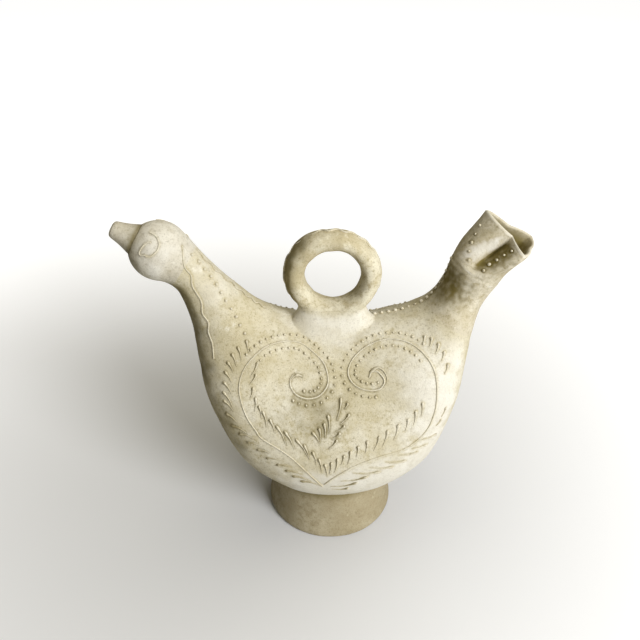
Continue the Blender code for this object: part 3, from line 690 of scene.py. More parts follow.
# %% Mouth
RIM_WALL, COLLAR_WALL, INSIDE_ROWS = 0.003, 0.004, 30
LIP_CHALK, FIRST_SHADE, MORE_SHADE, MOST_SHADE = -0.25, 0.26, 0.05, 0.80
lip = [mouth_ring(1.0, RIM_WALL * t, RIM_WALL * 0.5 * math.sin(math.pi * t)) for t in (0.2, 0.5, 0.8)]
inside = [mouth_ring(s, RIM_WALL + (COLLAR_WALL - RIM_WALL) * (1 - s))
          for s in np.linspace(1, 0, INSIDE_ROWS)]
# Painted shade inside the mouth, darker with depth.
depth_shade = np.minimum(FIRST_SHADE + MORE_SHADE * np.arange(len(inside)), MOST_SHADE)
mouth = shell("mouth", MOUTH_ROW, len(skin) - 1, 0.0, tail_clay, "mouth_clay", ["pinched_mouth"],
              lip + inside, np.repeat(np.concatenate([np.full(len(lip), LIP_CHALK), depth_shade]), SIDES))
print(mouth.name, "faces:", len(mouth.data.polygons))

# %% [markdown]
# ## The beak
# The beak is a turned shape, so a profile is spun about the axis of the neck. It is a blunt
# cone with a small bore, and its root is hollowed to sit on the ball of the head, which
# leaves a groove round it, darkened with painted shade. The Screw modifier spins a profile
# as well, but plain rings can also be made uneven point by point, with the same slow noise
# as on the skin.

# %% Beak
BEAK_SIDES, SEAT_ROWS, BEAK_ROWS = 72, 8, 46
BEAK_SINK, BEAK_ROOT, GROOVE_SHADE, GROOVE_FADE, TIP_DIRT = 0.0004, 0.0112, 0.7, 6, 0.06


def roughened(rings, amount):
    grid = np.array(rings)
    lift = np.array([[unevenness(p) for p in row] for row in grid]) * amount
    return grid + grid_normals(grid) * lift[..., None]


BEAK_PROFILE = ((0.0182, 0.0111), (0.0192, 0.0107), (0.0212, 0.0099), (0.0240, 0.0088),
                (0.0270, 0.0078), (0.0300, 0.0070), (0.0325, 0.0064), (0.0341, 0.0056),
                (0.0349, 0.0043), (0.0352, 0.0031), (0.0350, 0.00235))


def beak_rings():
    seat, bore = HEAD_RADIUS - BEAK_SINK, BEAK_PROFILE[-1][1]
    angles = np.linspace(math.asin(bore / seat), math.asin(BEAK_ROOT / seat), SEAT_ROWS)
    rows = [(seat * math.cos(a), seat * math.sin(a)) for a in angles]
    steps = np.linspace(0, len(BEAK_PROFILE) - 1, BEAK_ROWS)
    rows += [tuple(p) for p in smooth_through(np.array(BEAK_PROFILE), steps)]
    rings, turns = [], full_turn(BEAK_SIDES)
    for distance, radius in rows:
        flat = HEAD_CENTRE - NECK_AXIS * distance
        up = across(NECK_AXIS) * radius
        rings.append(np.stack([flat[0] + up[0] * np.cos(turns) + FOOT_X, -radius * np.sin(turns),
                               flat[1] + up[1] * np.cos(turns)], axis=-1))
    return rings


beak_mesh = loop_mesh("beak", roughened(beak_rings(), 0.4), head_clay)
from_root = np.arange(len(beak_mesh.vertices)) // BEAK_SIDES - SEAT_ROWS - 2
# Painted shade in the groove at the root of the beak, fading towards the tip.
fading = TIP_DIRT + GROOVE_SHADE * np.exp(-from_root / GROOVE_FADE)
set_hollow(beak_mesh, np.where(from_root < 0, GROOVE_SHADE, fading))
beak = finish_piece(bpy.data.objects.new("beak", beak_mesh), "beak_clay", "beak_spout")
print(beak.name, "faces:", len(beak_mesh.polygons))

# %% [markdown]
# ## The foot
# The foot was thrown on the wheel as a hollow cone with a flat rim. Its top edge has to
# follow the round belly, so each column of its skin is cast up on to the body with a ray. A
# BVH tree of the skin answers such questions quickly, and the slip will need it as well.

# %% Foot
SKIN_POINTS, SKIN_FACES = [tuple(p) for p in skin.reshape(-1, 3)], grid_faces(len(skin), SIDES, False)
SKIN = BVHTree.FromPolygons(SKIN_POINTS, SKIN_FACES)
FOOT_SIDES, FOOT_ROWS, FOOT_INSIDE_ROWS = 144, 40, 12
FOOT_NECK, FOOT_BORE, RIM_INSIDE, RIM_OUTSIDE, FOOT_SINK = 0.0464, 0.0394, 0.046, 0.0490, 0.0015
FOOT_TOP_SHADE, FOOT_SHADE_START, FOOT_SHADE_FADE = 0.5, 0.034, 0.010
FOOT_PROFILE = ((0.0000, 0.0508), (0.0006, 0.0522), (0.0020, 0.0530), (0.0045, 0.0529),
                (0.0100, 0.0516), (0.0180, 0.0498), (0.0280, 0.0480), (0.0400, 0.0468))


def foot_rings():
    turns = full_turn(FOOT_SIDES)
    tops = []
    for radius in (FOOT_NECK, FOOT_BORE):
        row = []
        for turn in turns:
            start = Vector((FOOT_X + radius * math.cos(turn), radius * math.sin(turn), 0))
            row.append(SKIN.ray_cast(start, Vector((0, 0, 1)))[0].z + FOOT_SINK)
        tops.append(np.array(row))

    def ring(height, radius):
        return np.stack([FOOT_X + radius * np.cos(turns), radius * np.sin(turns),
                         np.broadcast_to(height, turns.shape)], axis=-1)

    rings, full_height = [ring(0.0, RIM_INSIDE), ring(0.0, RIM_OUTSIDE)], FOOT_PROFILE[-1][0]
    places = np.linspace(0, len(FOOT_PROFILE) - 1, FOOT_ROWS)
    for height, radius in smooth_through(np.array(FOOT_PROFILE), places):
        share = height / full_height
        rings.append(ring(height + (tops[0] - full_height) * share**2, radius))
    for t in np.linspace(0, 1, FOOT_INSIDE_ROWS)[:-1]:
        rings.append(ring(tops[1] * (1 - t), FOOT_BORE + (RIM_INSIDE - FOOT_BORE) * t**2))
    return rings


foot_mesh = loop_mesh("foot", roughened(foot_rings(), 0.5), foot_clay)
for vert in foot_mesh.vertices:
    vert.co.z = max(vert.co.z, 0.0)
rise = np.array([v.co.z for v in foot_mesh.vertices])
# Painted shade at the top of the foot, under the belly.
set_hollow(foot_mesh, FOOT_TOP_SHADE * step(rise - FOOT_SHADE_START, FOOT_SHADE_FADE))
foot = finish_piece(bpy.data.objects.new("foot", foot_mesh), "foot_clay", "pedestal_foot")
print(foot.name, "faces:", len(foot_mesh.polygons))

# %% [markdown]
# ## The ring handle
# The handle is a rolled coil bent into a ring, a little wider than it is thick, with the
# marks of the fingers left on it. A torus has a round section, so the ring is a grid of
# points of its own that closes both ways, moved in and out along its normals by the slow
# noise. Its left side, turned from the light, gets painted shade, and its foot is as chalky
# as the pad.

# %% Ring
RING_RADIUS, RING_THICK, RING_WIDTH, RING_LIFT = 0.0275, 0.0144, 0.0210, 0.003
RING_STEPS, RING_SIDES, MIDDLE_STATION = 150, 56, 7.0
FINGER_SCALE, FINGER_DEPTH, RING_SHADE, RING_CHALK = 1.5, 1.8, 0.62, 0.46
CREST = hull_rings(np.array([MIDDLE_STATION]))[0][0]
RING_CENTRE = np.array([FOOT_X, 0.0, CREST[2] + RING_LIFT + RING_RADIUS + RING_THICK / 2])


def ring_point(turn, around, grow=0.0):
    radius = RING_RADIUS + (RING_THICK / 2 + grow) * math.cos(around)
    side = -(RING_WIDTH / 2 + grow) * math.sin(around)
    return RING_CENTRE + np.array([radius * math.sin(turn), side, radius * math.cos(turn)])


def ring_mesh():
    grid = np.array([[ring_point(t, a) for a in full_turn(RING_SIDES)] for t in full_turn(RING_STEPS)])
    along = np.roll(grid, -1, axis=0) - np.roll(grid, 1, axis=0)
    around = np.roll(grid, -1, axis=1) - np.roll(grid, 1, axis=1)
    out = np.cross(around, along)
    out /= np.linalg.norm(out, axis=-1, keepdims=True)
    lift = np.array([[unevenness(p * FINGER_SCALE) * FINGER_DEPTH for p in row] for row in grid])
    return loop_mesh("ring", grid + out * lift[..., None], ring_clay)


handle_mesh = ring_mesh()
places = np.array([v.co for v in handle_mesh.vertices])
# Painted shade on the left of the ring, where it is turned from the light.
facing_left = step(np.array([-0.25 - v.normal.x for v in handle_mesh.vertices]), 0.5)
facing_left *= np.clip((FOOT_X + 0.004 - places[:, 0]) / 0.012, 0.30, 1)
outer_left = step(FOOT_X - 0.014 - places[:, 0], 0.012)
near_pad = step(CREST[2] + 0.019 - places[:, 2], 0.015)
left_shade = RING_SHADE * np.maximum(facing_left, 0.35 * outer_left)
set_hollow(handle_mesh, left_shade * (1 - near_pad) - RING_CHALK * near_pad)
handle = finish_piece(bpy.data.objects.new("ring", handle_mesh), "handle_clay", "handle_ring")
print(handle.name, "top at", round(places[:, 2].max(), 4), "m")

# %% [markdown]
# ## The pad under the ring
# A pad of soft clay was pressed against the foot of the ring and smeared out over the back
# to nothing. Each line of the pad therefore leaves the ring along the ring's own side and
# lands flat on the back, which a cubic curve with a given direction at both ends does well.
# Three more rows, hidden in the clay, close the pad underneath.

# %% Pad
PAD_LENGTH, PAD_SPAN, PAD_STEPS, PAD_SIDES = 0.0325, 0.0225, 30, 128
PAD_GRIP, PAD_HUG, PAD_SINK, PAD_EDGE = math.radians(48), math.radians(112), 0.0025, 0.0007
SMEAR_SCALE, SMEAR_DEPTH, PAD_START, ABOVE = 1.7, 1.2, 0.0002, 0.30


def pad_mesh():
    lines = []
    for turn in full_turn(PAD_SIDES):
        spread = 1 + 0.05 * math.sin(3 * turn + 1.0)
        ring_turn = math.pi - PAD_GRIP * math.cos(turn)
        around = PAD_HUG * math.sin(turn)
        top = Vector(ring_point(ring_turn, around, PAD_START))
        facing = (Vector(ring_point(ring_turn, around, 0.001)) - top).normalized()
        x = FOOT_X + PAD_LENGTH * spread * math.cos(turn)
        y = -PAD_SPAN * spread * math.sin(turn)
        low, normal, _, _ = SKIN.ray_cast(Vector((x, y, ABOVE)), Vector((0, 0, -1)))
        down = low - top
        reach = down.length
        start_way = (down - facing * down.dot(facing)).normalized() * reach
        end_way = (down - normal * down.dot(normal)).normalized() * reach
        line = []
        for t in np.linspace(0, 1, PAD_STEPS):
            point = cubic(top, low, start_way, end_way, t)
            bump = unevenness(point * SMEAR_SCALE) * SMEAR_DEPTH * math.sin(math.pi * t)
            line.append(point + normal * (bump - PAD_EDGE * t**4))
        line.append(low - normal * PAD_SINK)
        line.append(Vector((FOOT_X + (top.x - FOOT_X) * 0.55, top.y * 0.3, CREST[2] - PAD_SINK)))
        line.append(Vector(ring_point(ring_turn, around * 0.6, -0.0035)))
        lines.append(line)
    return loop_mesh("pad", list(zip(*lines)), pad_clay)


saddle_mesh = pad_mesh()
from_ring = np.arange(PAD_STEPS + 3) / PAD_STEPS
wiped = np.interp(from_ring, (0, 0.25, 0.6, 1.0), (0.00, -0.36, -0.34, -0.14))
set_hollow(saddle_mesh, np.repeat(wiped, PAD_SIDES))
saddle = finish_piece(bpy.data.objects.new("pad", saddle_mesh), "saddle_clay", "handle_saddle")
print(saddle.name, "faces:", len(saddle_mesh.polygons))

# %% [markdown]
# ## The camera of the photograph
# The photograph looks down on the jug from about half a metre away. The camera was worked
# out from the oval of the round foot: its place, its tilt and its lens. The slip ornament is
# then read off the photograph as points, and each point is sent back along its ray until it
# meets the skin, so it sits on the clay from any side.

# %% Camera and rays
CAMERA_PLACE = Vector((FOOT_X - 0.00885, -0.40290, 0.44460))
CAMERA_PITCH = math.radians(33)
FOCAL_PIXELS, MIDDLE_PIXEL = 640.0, 320.0
camera_data = bpy.data.cameras.new("photo_camera")
camera_data.lens, camera_data.sensor_width = 36.0, 36.0
camera_data.clip_start = 0.01
camera = bpy.data.objects.new("photo_camera", camera_data)
camera.location = CAMERA_PLACE
camera.rotation_euler = (math.pi / 2 - CAMERA_PITCH, 0, 0)
bpy.context.scene.collection.objects.link(camera)
bpy.context.scene.camera = camera


def photo_ray(u, v):
    right, up = (u - MIDDLE_PIXEL) / FOCAL_PIXELS, (MIDDLE_PIXEL - v) / FOCAL_PIXELS
    cos, sin = math.cos(CAMERA_PITCH), math.sin(CAMERA_PITCH)
    return Vector((right, cos + up * sin, -sin + up * cos)).normalized()


def seen_at(u, v):
    return SKIN.ray_cast(CAMERA_PLACE, photo_ray(u, v))


def rear_of(points):
    return [SKIN.find_nearest(Vector((p.x, -p.y, p.z)))[0] for p in points]


def drawn_on(pixels, per_step=6):
    spots = np.array(pixels, dtype=float)
    places = np.linspace(0, len(spots) - 1, (len(spots) - 1) * per_step + 1)
    return [seen_at(u, v)[0] for u, v in smooth_through(spots, places)]


print("camera looks down", round(math.degrees(CAMERA_PITCH)), "degrees")

# %% [markdown]
# ## Slip in Geometry Nodes
# Slip comes out of a horn in a steady line, in single dots, or in drops that are pulled out
# to a thin tail. All three follow a path on the clay, which is what Geometry Nodes do well.
# What the three trees share comes first: inputs that are set from outside, a round bead
# swept along a curve, and an end in plain mesh, shaded smooth, with its material.

# %% Helpers for the slip trees
BEAD_SIDES = 8


def new_tree(name, inputs):
    inputs = [("Geometry", SHAPE, None), *inputs, ("Material", MATERIAL, None)]
    return new_group(name, inputs, [("Geometry", SHAPE)], "GeometryNodeTree")


def end_tree(tree, source, sink, geometry):
    real = add(tree, "GeometryNodeRealizeInstances", None, Geometry=geometry)
    smooth = add(tree, "GeometryNodeSetShadeSmooth", None, Geometry=real.outputs[0])
    paint = add(tree, "GeometryNodeSetMaterial", None, Geometry=smooth.outputs[0],
                Material=source.outputs["Material"])
    tree.links.new(paint.outputs[0], sink.inputs[0])
    return tree


def sweep(tree, source, share):
    half = maths(tree, "MULTIPLY", source.outputs["Width"], 0.5)
    radius = maths(tree, "MULTIPLY", share, half)
    circle = add(tree, "GeometryNodeCurvePrimitiveCircle", None, Resolution=BEAD_SIDES, Radius=1.0)
    tube = add(tree, "GeometryNodeCurveToMesh", None, Curve=source.outputs["Geometry"],
               Profile_Curve=circle.outputs[0], Scale=radius, Fill_Caps=True)
    return tube.outputs[0]


print("a bead of slip has", BEAD_SIDES, "sides")

# %% [markdown]
# ## Lines and strokes
# A trailed line is a bead whose width wobbles a little with a noise. A stroke is a drop: it
# starts blunt, swells at once and thins out to its tail, so a curve over the length of the
# path tells how much of the full width is there.

# %% Trees for lines and strokes
WOBBLE_SCALE, LEAST_WIDTH = 260.0, 0.8
TAPER = ((0.0, 0.45), (0.04, 0.88), (0.12, 1.0), (0.25, 0.72), (0.50, 0.46), (1.0, 0.20))


def trail_tree():
    tree, source, sink = new_tree("slip_trail", [("Width", FLOAT, 0.0015), ("Wobble", FLOAT, 0.3)])
    place = add(tree, "GeometryNodeInputPosition").outputs[0]
    wave = add(tree, "ShaderNodeTexNoise", None, Vector=place, Scale=WOBBLE_SCALE).outputs[0]
    share = maths(tree, "MULTIPLY_ADD", wave, source.outputs["Wobble"], LEAST_WIDTH)
    return end_tree(tree, source, sink, sweep(tree, source, share))


def stroke_tree():
    tree, source, sink = new_tree("slip_strokes", [("Width", FLOAT, 0.0026)])
    along = add(tree, "GeometryNodeSplineParameter").outputs["Factor"]
    taper = add(tree, "ShaderNodeFloatCurve", None, Value=along)
    curve = taper.mapping.curves[0]
    curve.points[0].location, curve.points[1].location = TAPER[0], TAPER[-1]
    for x, y in TAPER[1:-1]:
        curve.points.new(x, y)
    taper.mapping.update()
    return end_tree(tree, source, sink, sweep(tree, source, taper.outputs[0]))


TRAIL, STROKES = trail_tree(), stroke_tree()
print("trees:", TRAIL.name, STROKES.name)

# %% [markdown]
# ## Rows of dots
# Dots stand at a spacing along a path, moved to one side of it. Sideways on the clay is
# square to the path and to the normal of the skin, which is their cross product. Each dot is
# then put back on the skin, turned to stand on it, and given a random size.

# %% Tree for dots
DOT_SEGMENTS, DOT_RINGS, SMALLEST_DOT, LARGEST_DOT = 8, 5, 0.36, 0.60


def dot_tree():
    tree, source, sink = new_tree("slip_dots", [
        ("Skin", OBJECT, None), ("Spacing", FLOAT, 0.004), ("Side", FLOAT, 0.0),
        ("Size", FLOAT, 0.0024), ("Seed", WHOLE, 1)])
    path, skin_object, spacing, side, size, seed = source.outputs[:6]
    clay_skin = add(tree, "GeometryNodeObjectInfo", None, Object=skin_object).outputs["Geometry"]
    row = add(tree, "GeometryNodeResampleCurve", {"mode": "LENGTH"}, Curve=path, Length=spacing).outputs[0]
    tangent = add(tree, "GeometryNodeInputTangent").outputs[0]
    facing = add(tree, "GeometryNodeInputNormal").outputs[0]
    lean = add(tree, "GeometryNodeSampleNearestSurface", {"data_type": "FLOAT_VECTOR"},
               Mesh=clay_skin, Value=facing).outputs[0]
    aside = add(tree, "ShaderNodeVectorMath", {"operation": "CROSS_PRODUCT"}, i0=lean, i1=tangent).outputs[0]
    aside = add(tree, "ShaderNodeVectorMath", {"operation": "SCALE"}, i0=aside, Scale=side).outputs[0]
    points = add(tree, "GeometryNodeSetPosition", None, Geometry=row, Offset=aside).outputs[0]
    near = add(tree, "GeometryNodeProximity", None, i0=clay_skin).outputs["Position"]
    points = add(tree, "GeometryNodeSetPosition", None, Geometry=points, Position=near).outputs[0]
    points = add(tree, "GeometryNodeCurveToPoints", {"mode": "EVALUATED"}, Curve=points).outputs[0]
    turn = add(tree, "FunctionNodeAlignRotationToVector", {"axis": "Z"}, Vector=lean).outputs[0]
    share = add(tree, "FunctionNodeRandomValue", {"data_type": "FLOAT"}, i2=SMALLEST_DOT, i3=LARGEST_DOT,
                Seed=seed).outputs[1]
    radius = maths(tree, "MULTIPLY", share, size)
    dot = add(tree, "GeometryNodeMeshUVSphere", None, Segments=DOT_SEGMENTS, Rings=DOT_RINGS, Radius=1.0)
    many = add(tree, "GeometryNodeInstanceOnPoints", None, Points=points, Instance=dot.outputs[0],
               Rotation=turn, Scale=radius)
    return end_tree(tree, source, sink, many.outputs[0])


DOTS = dot_tree()
print("tree:", DOTS.name)

# %% [markdown]
# ## From a path to a piece
# A path is a plain poly curve through points on the skin. A tree is put on it as a modifier,
# its inputs are set, and the result is read back as a mesh, so nothing stays live. How far
# each point of the slip stands off the clay steers its colour: crowns are rubbed, feet get
# dirt and painted shade. On the left of the jug, the side of the slip turned from the light
# gets painted shade as well. The rear of the jug takes the mirrored paths, laid on the clay
# again.

# %% Helpers that run a tree along paths
SLIP_LIFT, CROWN_HEIGHT, HEIGHT_SHARE = 0.0001, 0.6, 1.15
SLIP_FOOT_DIRT_AND_SHADE, SLIP_CROWN_CHALK = 0.50, -0.40
SHADE_EDGE, SHADE_FADE, SHADE_TURN, CROWN_START, CROWN_FADE = 0.075, 0.06, 0.75, 0.30, 0.35
skin_mesh = bpy.data.meshes.new("whole_skin")
skin_mesh.from_pydata(SKIN_POINTS, [], SKIN_FACES)
SKIN_OBJECT = bpy.data.objects.new("whole_skin", skin_mesh)
bpy.context.scene.collection.objects.link(SKIN_OBJECT)
slip_points = []


def path_object(name, paths):
    curve = bpy.data.curves.new(name, "CURVE")
    curve.dimensions = "3D"
    for points in paths:
        spline = curve.splines.new("POLY")
        spline.points.add(len(points) - 1)
        for target, point in zip(spline.points, points):
            target.co = (*point, 1.0)
    item = bpy.data.objects.new(name, curve)
    bpy.context.scene.collection.objects.link(item)
    return item


def height_on_skin(point):
    hit, normal, _, _ = SKIN.find_nearest(point)
    return (point - hit).dot(normal) * 1000


def laid(name, tree, paths, nodes=(), on_skin=True, soil=0.0, crown=SLIP_CROWN_CHALK, **values):
    path = path_object(name + "_path", paths)
    modifier = path.modifiers.new("slip", "NODES")
    modifier.node_group = tree
    values["Material"] = slip_clay
    for socket in tree.interface.items_tree:
        if socket.item_type == "SOCKET" and socket.in_out == "INPUT" and socket.name in values:
            modifier[socket.identifier] = values[socket.name]
    shown = path.evaluated_get(bpy.context.evaluated_depsgraph_get())
    mesh = bpy.data.meshes.new_from_object(shown)
    mesh.name = name
    bpy.data.objects.remove(path)
    heights = np.array([height_on_skin(v.co) if on_skin else CROWN_HEIGHT for v in mesh.vertices])
    # Painted shade on the side of the slip turned from the light, on the left of the jug.
    to_left = step(FOOT_X + SHADE_EDGE - np.array([v.co.x for v in mesh.vertices]), SHADE_FADE)
    turned = step(SHADE_TURN - np.array([v.normal.x for v in mesh.vertices]), 1.0)
    left_shade = to_left * turned * step(heights - CROWN_START, CROWN_FADE)
    # Dirt and painted shade at the foot of the slip, chalk on its crown.
    bare = np.clip(SLIP_FOOT_DIRT_AND_SHADE - heights * HEIGHT_SHARE, crown, SLIP_FOOT_DIRT_AND_SHADE)
    set_hollow(mesh, bare + soil * left_shade)
    slip_points.extend(vert.co.copy() for vert in mesh.vertices)
    return finish_piece(bpy.data.objects.new(name, mesh), "trailed_slip", *nodes)


def both_sides(name, tree, paths, node=None, **values):
    made = []
    for side, lines in (("front", paths), ("rear", [rear_of(line) for line in paths])):
        nodes = [side + "_" + node] if node else []
        own = dict(values)
        if side == "rear" and "Side" in own:
            own["Side"] = -own["Side"]
        made.append(laid(side + "_" + name, tree, lines, nodes, **own))
    return made


print("skin to lay the slip on:", len(skin_mesh.polygons), "faces")

# %% [markdown]
# ## The scrolls
# Two large scrolls rise from one root above the foot, swing out to the breast and the rump,
# and curl in towards each other under the ring. They could be drawn as curves in space, but
# points that are cast on to the skin are sure to lie on it. The lines are used again below.

# %% Scroll lines
LEFT_SCROLL = (
    (322.8, 486.5), (312.5, 477.3), (288.4, 455.5), (263, 439.4), (256.3, 431.4), (246, 415.3),
    (239.6, 394.6), (240.2, 379.7), (246, 366), (257.4, 353.3), (268.9, 345.3), (286, 341.2),
    (301, 343), (314.8, 353.3), (324, 363.6), (328, 377.4), (326.3, 387.7), (318.2, 396.3),
    (306.8, 398.6), (296.4, 394.6), (290.7, 386.6), (290.7, 378.5), (295.3, 374.5), (302.2, 376.3),
)
RIGHT_SCROLL = (
    (324.6, 484.2), (334.9, 477.3), (353.3, 467), (377.4, 457.8), (400.4, 450.9), (414.1, 442.8),
    (426.8, 430.2), (434.8, 411.8), (437.1, 391.2), (434.8, 371.7), (425.6, 355.6), (411.8, 344.1),
    (394.6, 338.9), (377.4, 341.2), (362.5, 349.3), (352.1, 360.2), (348.1, 371.7), (351, 380.8),
    (359, 387.7), (370.5, 390.6), (379.7, 388.9), (384.3, 383.1), (383.1, 377.4), (377.4, 371.5),
    (371.5, 372.0), (369.4, 377.4),
)
left_line, right_line = drawn_on(LEFT_SCROLL), drawn_on(RIGHT_SCROLL)
left_scroll = both_sides("left_scroll_line", TRAIL, [left_line], "left_scroll", Width=0.0014)
right_scroll = both_sides("right_scroll_line", TRAIL, [right_line], "right_scroll", Width=0.0015)
print("scroll faces:", [len(p.data.polygons) for p in left_scroll + right_scroll])

# %% [markdown]
# ## Dots beside the scrolls
# A row of dots runs along each side of a curl, about five millimetres from the line. Single
# balls could be set by hand, but the paths of the scrolls are there already, and a stretch of
# each with a side and a spacing keeps the rows even all along the curl.

# %% Rows of dots
DOTS_ASIDE, CLOSE, LOOSE = 0.0050, 0.0040, 0.0052


def stretch(line, start, end):
    return line[int(start * (len(line) - 1)):int(end * (len(line) - 1)) + 1]


dot_rows = []
for label, line, start, end, side, spacing in (
    ("left_outer_dots", left_line, 0.37, 0.83, DOTS_ASIDE, CLOSE),
    ("left_inner_dots", left_line, 0.39, 0.80, -DOTS_ASIDE, LOOSE),
    ("right_outer_dots", right_line, 0.42, 0.78, -DOTS_ASIDE, CLOSE),
    ("right_inner_dots", right_line, 0.40, 0.80, DOTS_ASIDE, LOOSE),
):
    dot_rows += both_sides(label, DOTS, [stretch(line, start, end)], Skin=SKIN_OBJECT, Side=side,
                           Spacing=spacing, Size=0.0021, Seed=len(dot_rows), soil=0.85)
print("dot rows:", len(dot_rows))

# %% [markdown]
# ## The neck
# A wavy line runs down each side of the neck and one down its crest, with a row of dots
# between them. The side lines are read off the photograph. The crest turns away from it, so
# that wave is a sine along the first column of the grid. At the rear, only the lower dots
# are laid, because the row runs close to the crest.

# %% Waves and dots of the neck
NECK_LINE = ((182.0, 247.0), (182.4, 247.6), (184.4, 266.3), (191.1, 275.7), (192.5, 286.4), (201.2, 301.2),
             (202.5, 313.2), (208.5, 322.6), (208.5, 332), (212.5, 344), (213.9, 358.7))
NECK_DOTS = ((191.8, 255), (199.8, 263), (205.2, 270.4), (212.5, 278.4), (218.6, 288.4), (223.9, 297.8),
             (230, 307.2), (235.3, 315.2), (238.7, 322.6), (241.3, 327.9), (244.7, 333.3))
WAVE_WIDTH, REAR_START = 0.0015, 34
CREST_POINTS, CREST_WAVES, CREST_SWING = 150, 7, 0.0013
neck_lines = both_sides("neck_wave", TRAIL, [drawn_on(NECK_LINE)], "neck_trail", Width=WAVE_WIDTH)
front_points = drawn_on(NECK_DOTS)
rear_points = rear_of(front_points[REAR_START:])
for name, points in (("front_neck_dots", front_points), ("rear_neck_dots", rear_points)):
    laid(name, DOTS, [points], Skin=SKIN_OBJECT, Spacing=0.0066, Size=0.0026, Seed=5, soil=0.25)


def crest_wave(first, last):
    line = []
    for t in np.linspace(0, 1, CREST_POINTS):
        crest = Vector(skin[int(first + (last - first) * t)][0])
        crest.y += CREST_SWING * math.sin(2 * math.pi * CREST_WAVES * t)
        line.append(SKIN.find_nearest(crest)[0])
    return line


crest_line = laid("crest_neck_wave", TRAIL, [crest_wave(NECK_ROW + 2, BODY_ROW + 22)], ["crest_neck_trail"],
                  Width=WAVE_WIDTH)
print("waves of the neck:", [p.name for p in (*neck_lines, crest_line)])

# %% [markdown]
# ## The crown of the ring and the eyes
# One more line waves over the crown of the ring. It follows the same formula as the ring, so
# it needs no ray. Each eye is two curved touches of slip, a brow and a lid, that run into
# each other like a spiral.

# %% Crown of the ring and eyes
CROWN_ARC, CROWN_POINTS, CROWN_WAVES, CROWN_SWING = math.radians(236), 240, 13, 0.13
BROW = ((149.5, 232.5), (155.0, 235.5), (158.3, 240.6), (158.9, 246), (156.8, 251), (152.8, 255.1),
        (149.0, 257.0), (145.4, 256.4))
LID = ((150.6, 242.0), (146.6, 243.0), (142.6, 246.6), (139.4, 252.1), (140.6, 255.6), (145.0, 255.4))
crown = []
for t in np.linspace(0, 1, CROWN_POINTS):
    swing = CROWN_SWING * math.sin(2 * math.pi * CROWN_WAVES * t)
    crown.append(Vector(ring_point(CROWN_ARC * (t - 0.5), swing, SLIP_LIFT)))
crown_line = laid("crown_wave", TRAIL, [crown], ["handle_crown_trail"], False, Width=0.0017)
brows = both_sides("brow", TRAIL, [drawn_on(BROW)], "eye_brow", Width=WAVE_WIDTH)
lids = both_sides("lid", TRAIL, [drawn_on(LID)], "eye_lid", Width=WAVE_WIDTH)
print("crown and eyes:", [p.name for p in (crown_line, *brows, *lids)])

# %% [markdown]
# ## Where the feather strokes stand
# Drops of slip pulled out to a tail stand on both sides of each stem like the barbs of a
# feather. Scattering them evenly would be quicker, but a hand doesn't work so evenly. So the
# head and the end of the tail of each were read off the photograph, and three bent strokes
# have more points.

# %% Places of the strokes
LEFT_OUTSIDE = (
    ((237.4, 346.3), (241.2, 360.9)), ((231.5, 353.3), (236.3, 365.8)), ((227.1, 361.5), (233.6, 373.4)),
    ((224.4, 371.2), (232.0, 383.1)), ((223.3, 381.5), (231.5, 394.0)), ((222.8, 391.3), (232.5, 406.5)),
    ((223.3, 400.0), (233.1, 410.8)), ((226.0, 413.5), (236.9, 422.2)), ((231.5, 425.4), (246.6, 433.0)),
    ((239.0, 433.6), (253.1, 438.5)), ((247.2, 442.3), (258.6, 445.0)), ((256.9, 449.3), (270.5, 453.6)),
    ((266.2, 458.0), (282.4, 461.2)), ((276.5, 464.5), (291.1, 467.2)), ((285.1, 470.5), (302.0, 474.3)),
    ((292.2, 475.9), (311.7, 481.3)), ((300.3, 480.8), (321.5, 486.0)),
)
LEFT_INSIDE = (
    ((258.0, 361.5), (249.9, 377.7)), ((256.4, 373.9), (249.3, 384.8)), ((253.1, 386.9), (249.9, 399.4)),
    ((255.3, 397.2), (254.8, 411.3)), ((258.6, 405.4), (261.3, 417.9)), ((262.4, 410.8), (266.7, 427.0)),
    ((269.4, 418.9), (274.8, 433.0)), ((275.9, 425.4), (285.7, 443.9)), ((284.1, 430.9), (294.4, 449.3)),
    ((295.4, 439.0), (308.5, 458.0)), ((303.6, 444.4), (309.5, 460.2)), ((312.3, 451.5), (316.6, 465.6)),
    ((318.5, 458.2), (321.7, 472.8)), ((324.4, 463.6), (327.1, 476.6)),
)
RIGHT_INSIDE = (
    ((331.2, 462.1), (329.3, 474.1)), ((337.4, 458.3), (334.5, 472.4)), ((344.0, 455.1), (341.0, 464.8)),
    ((350.4, 450.7), (347.5, 464.8)), ((358.1, 445.9), (356.2, 457.2)), ((367.2, 440.4), (365.1, 453.4)),
    ((379.5, 435.6), (373.5, 450.7)), ((387.9, 429.6), (382.2, 446.9)), ((398.5, 424.2), (393.6, 439.9)),
    ((408.4, 418.7), (405.0, 431.2)), ((415.8, 410.6), (413.6, 425.0)), ((422.5, 401.9), (421.2, 416.0)),
)
RIGHT_OUTSIDE = (
    ((349.1, 487.6), (331.2, 488.9)), ((357.8, 482.2), (330.7, 486.5)), ((368.3, 476.2), (341.0, 481.1)),
    ((380.6, 471.5), (353.4, 473.0)), ((394.1, 466.5), (369.7, 467.5)), ((406.6, 460.5), (385.4, 462.1)),
    ((418.0, 451.8), (399.5, 455.1)), ((427.2, 444.2), (411.5, 448.6)), ((436.4, 433.9), (422.3, 439.3)),
    ((441.3, 418.7), (435.9, 425.8)), ((446.1, 406.8), (441.3, 416.6)),
)
RIGHT_TOP = (
    ((448.0, 363.6), (444.6, 374.1)), ((444.5, 351.0), (441.1, 361.5)), ((438.8, 343.0), (435.6, 353.5)),
    ((431.9, 337.2), (428.9, 347.8)), ((425.0, 334.9), (422.2, 345.5)),
)
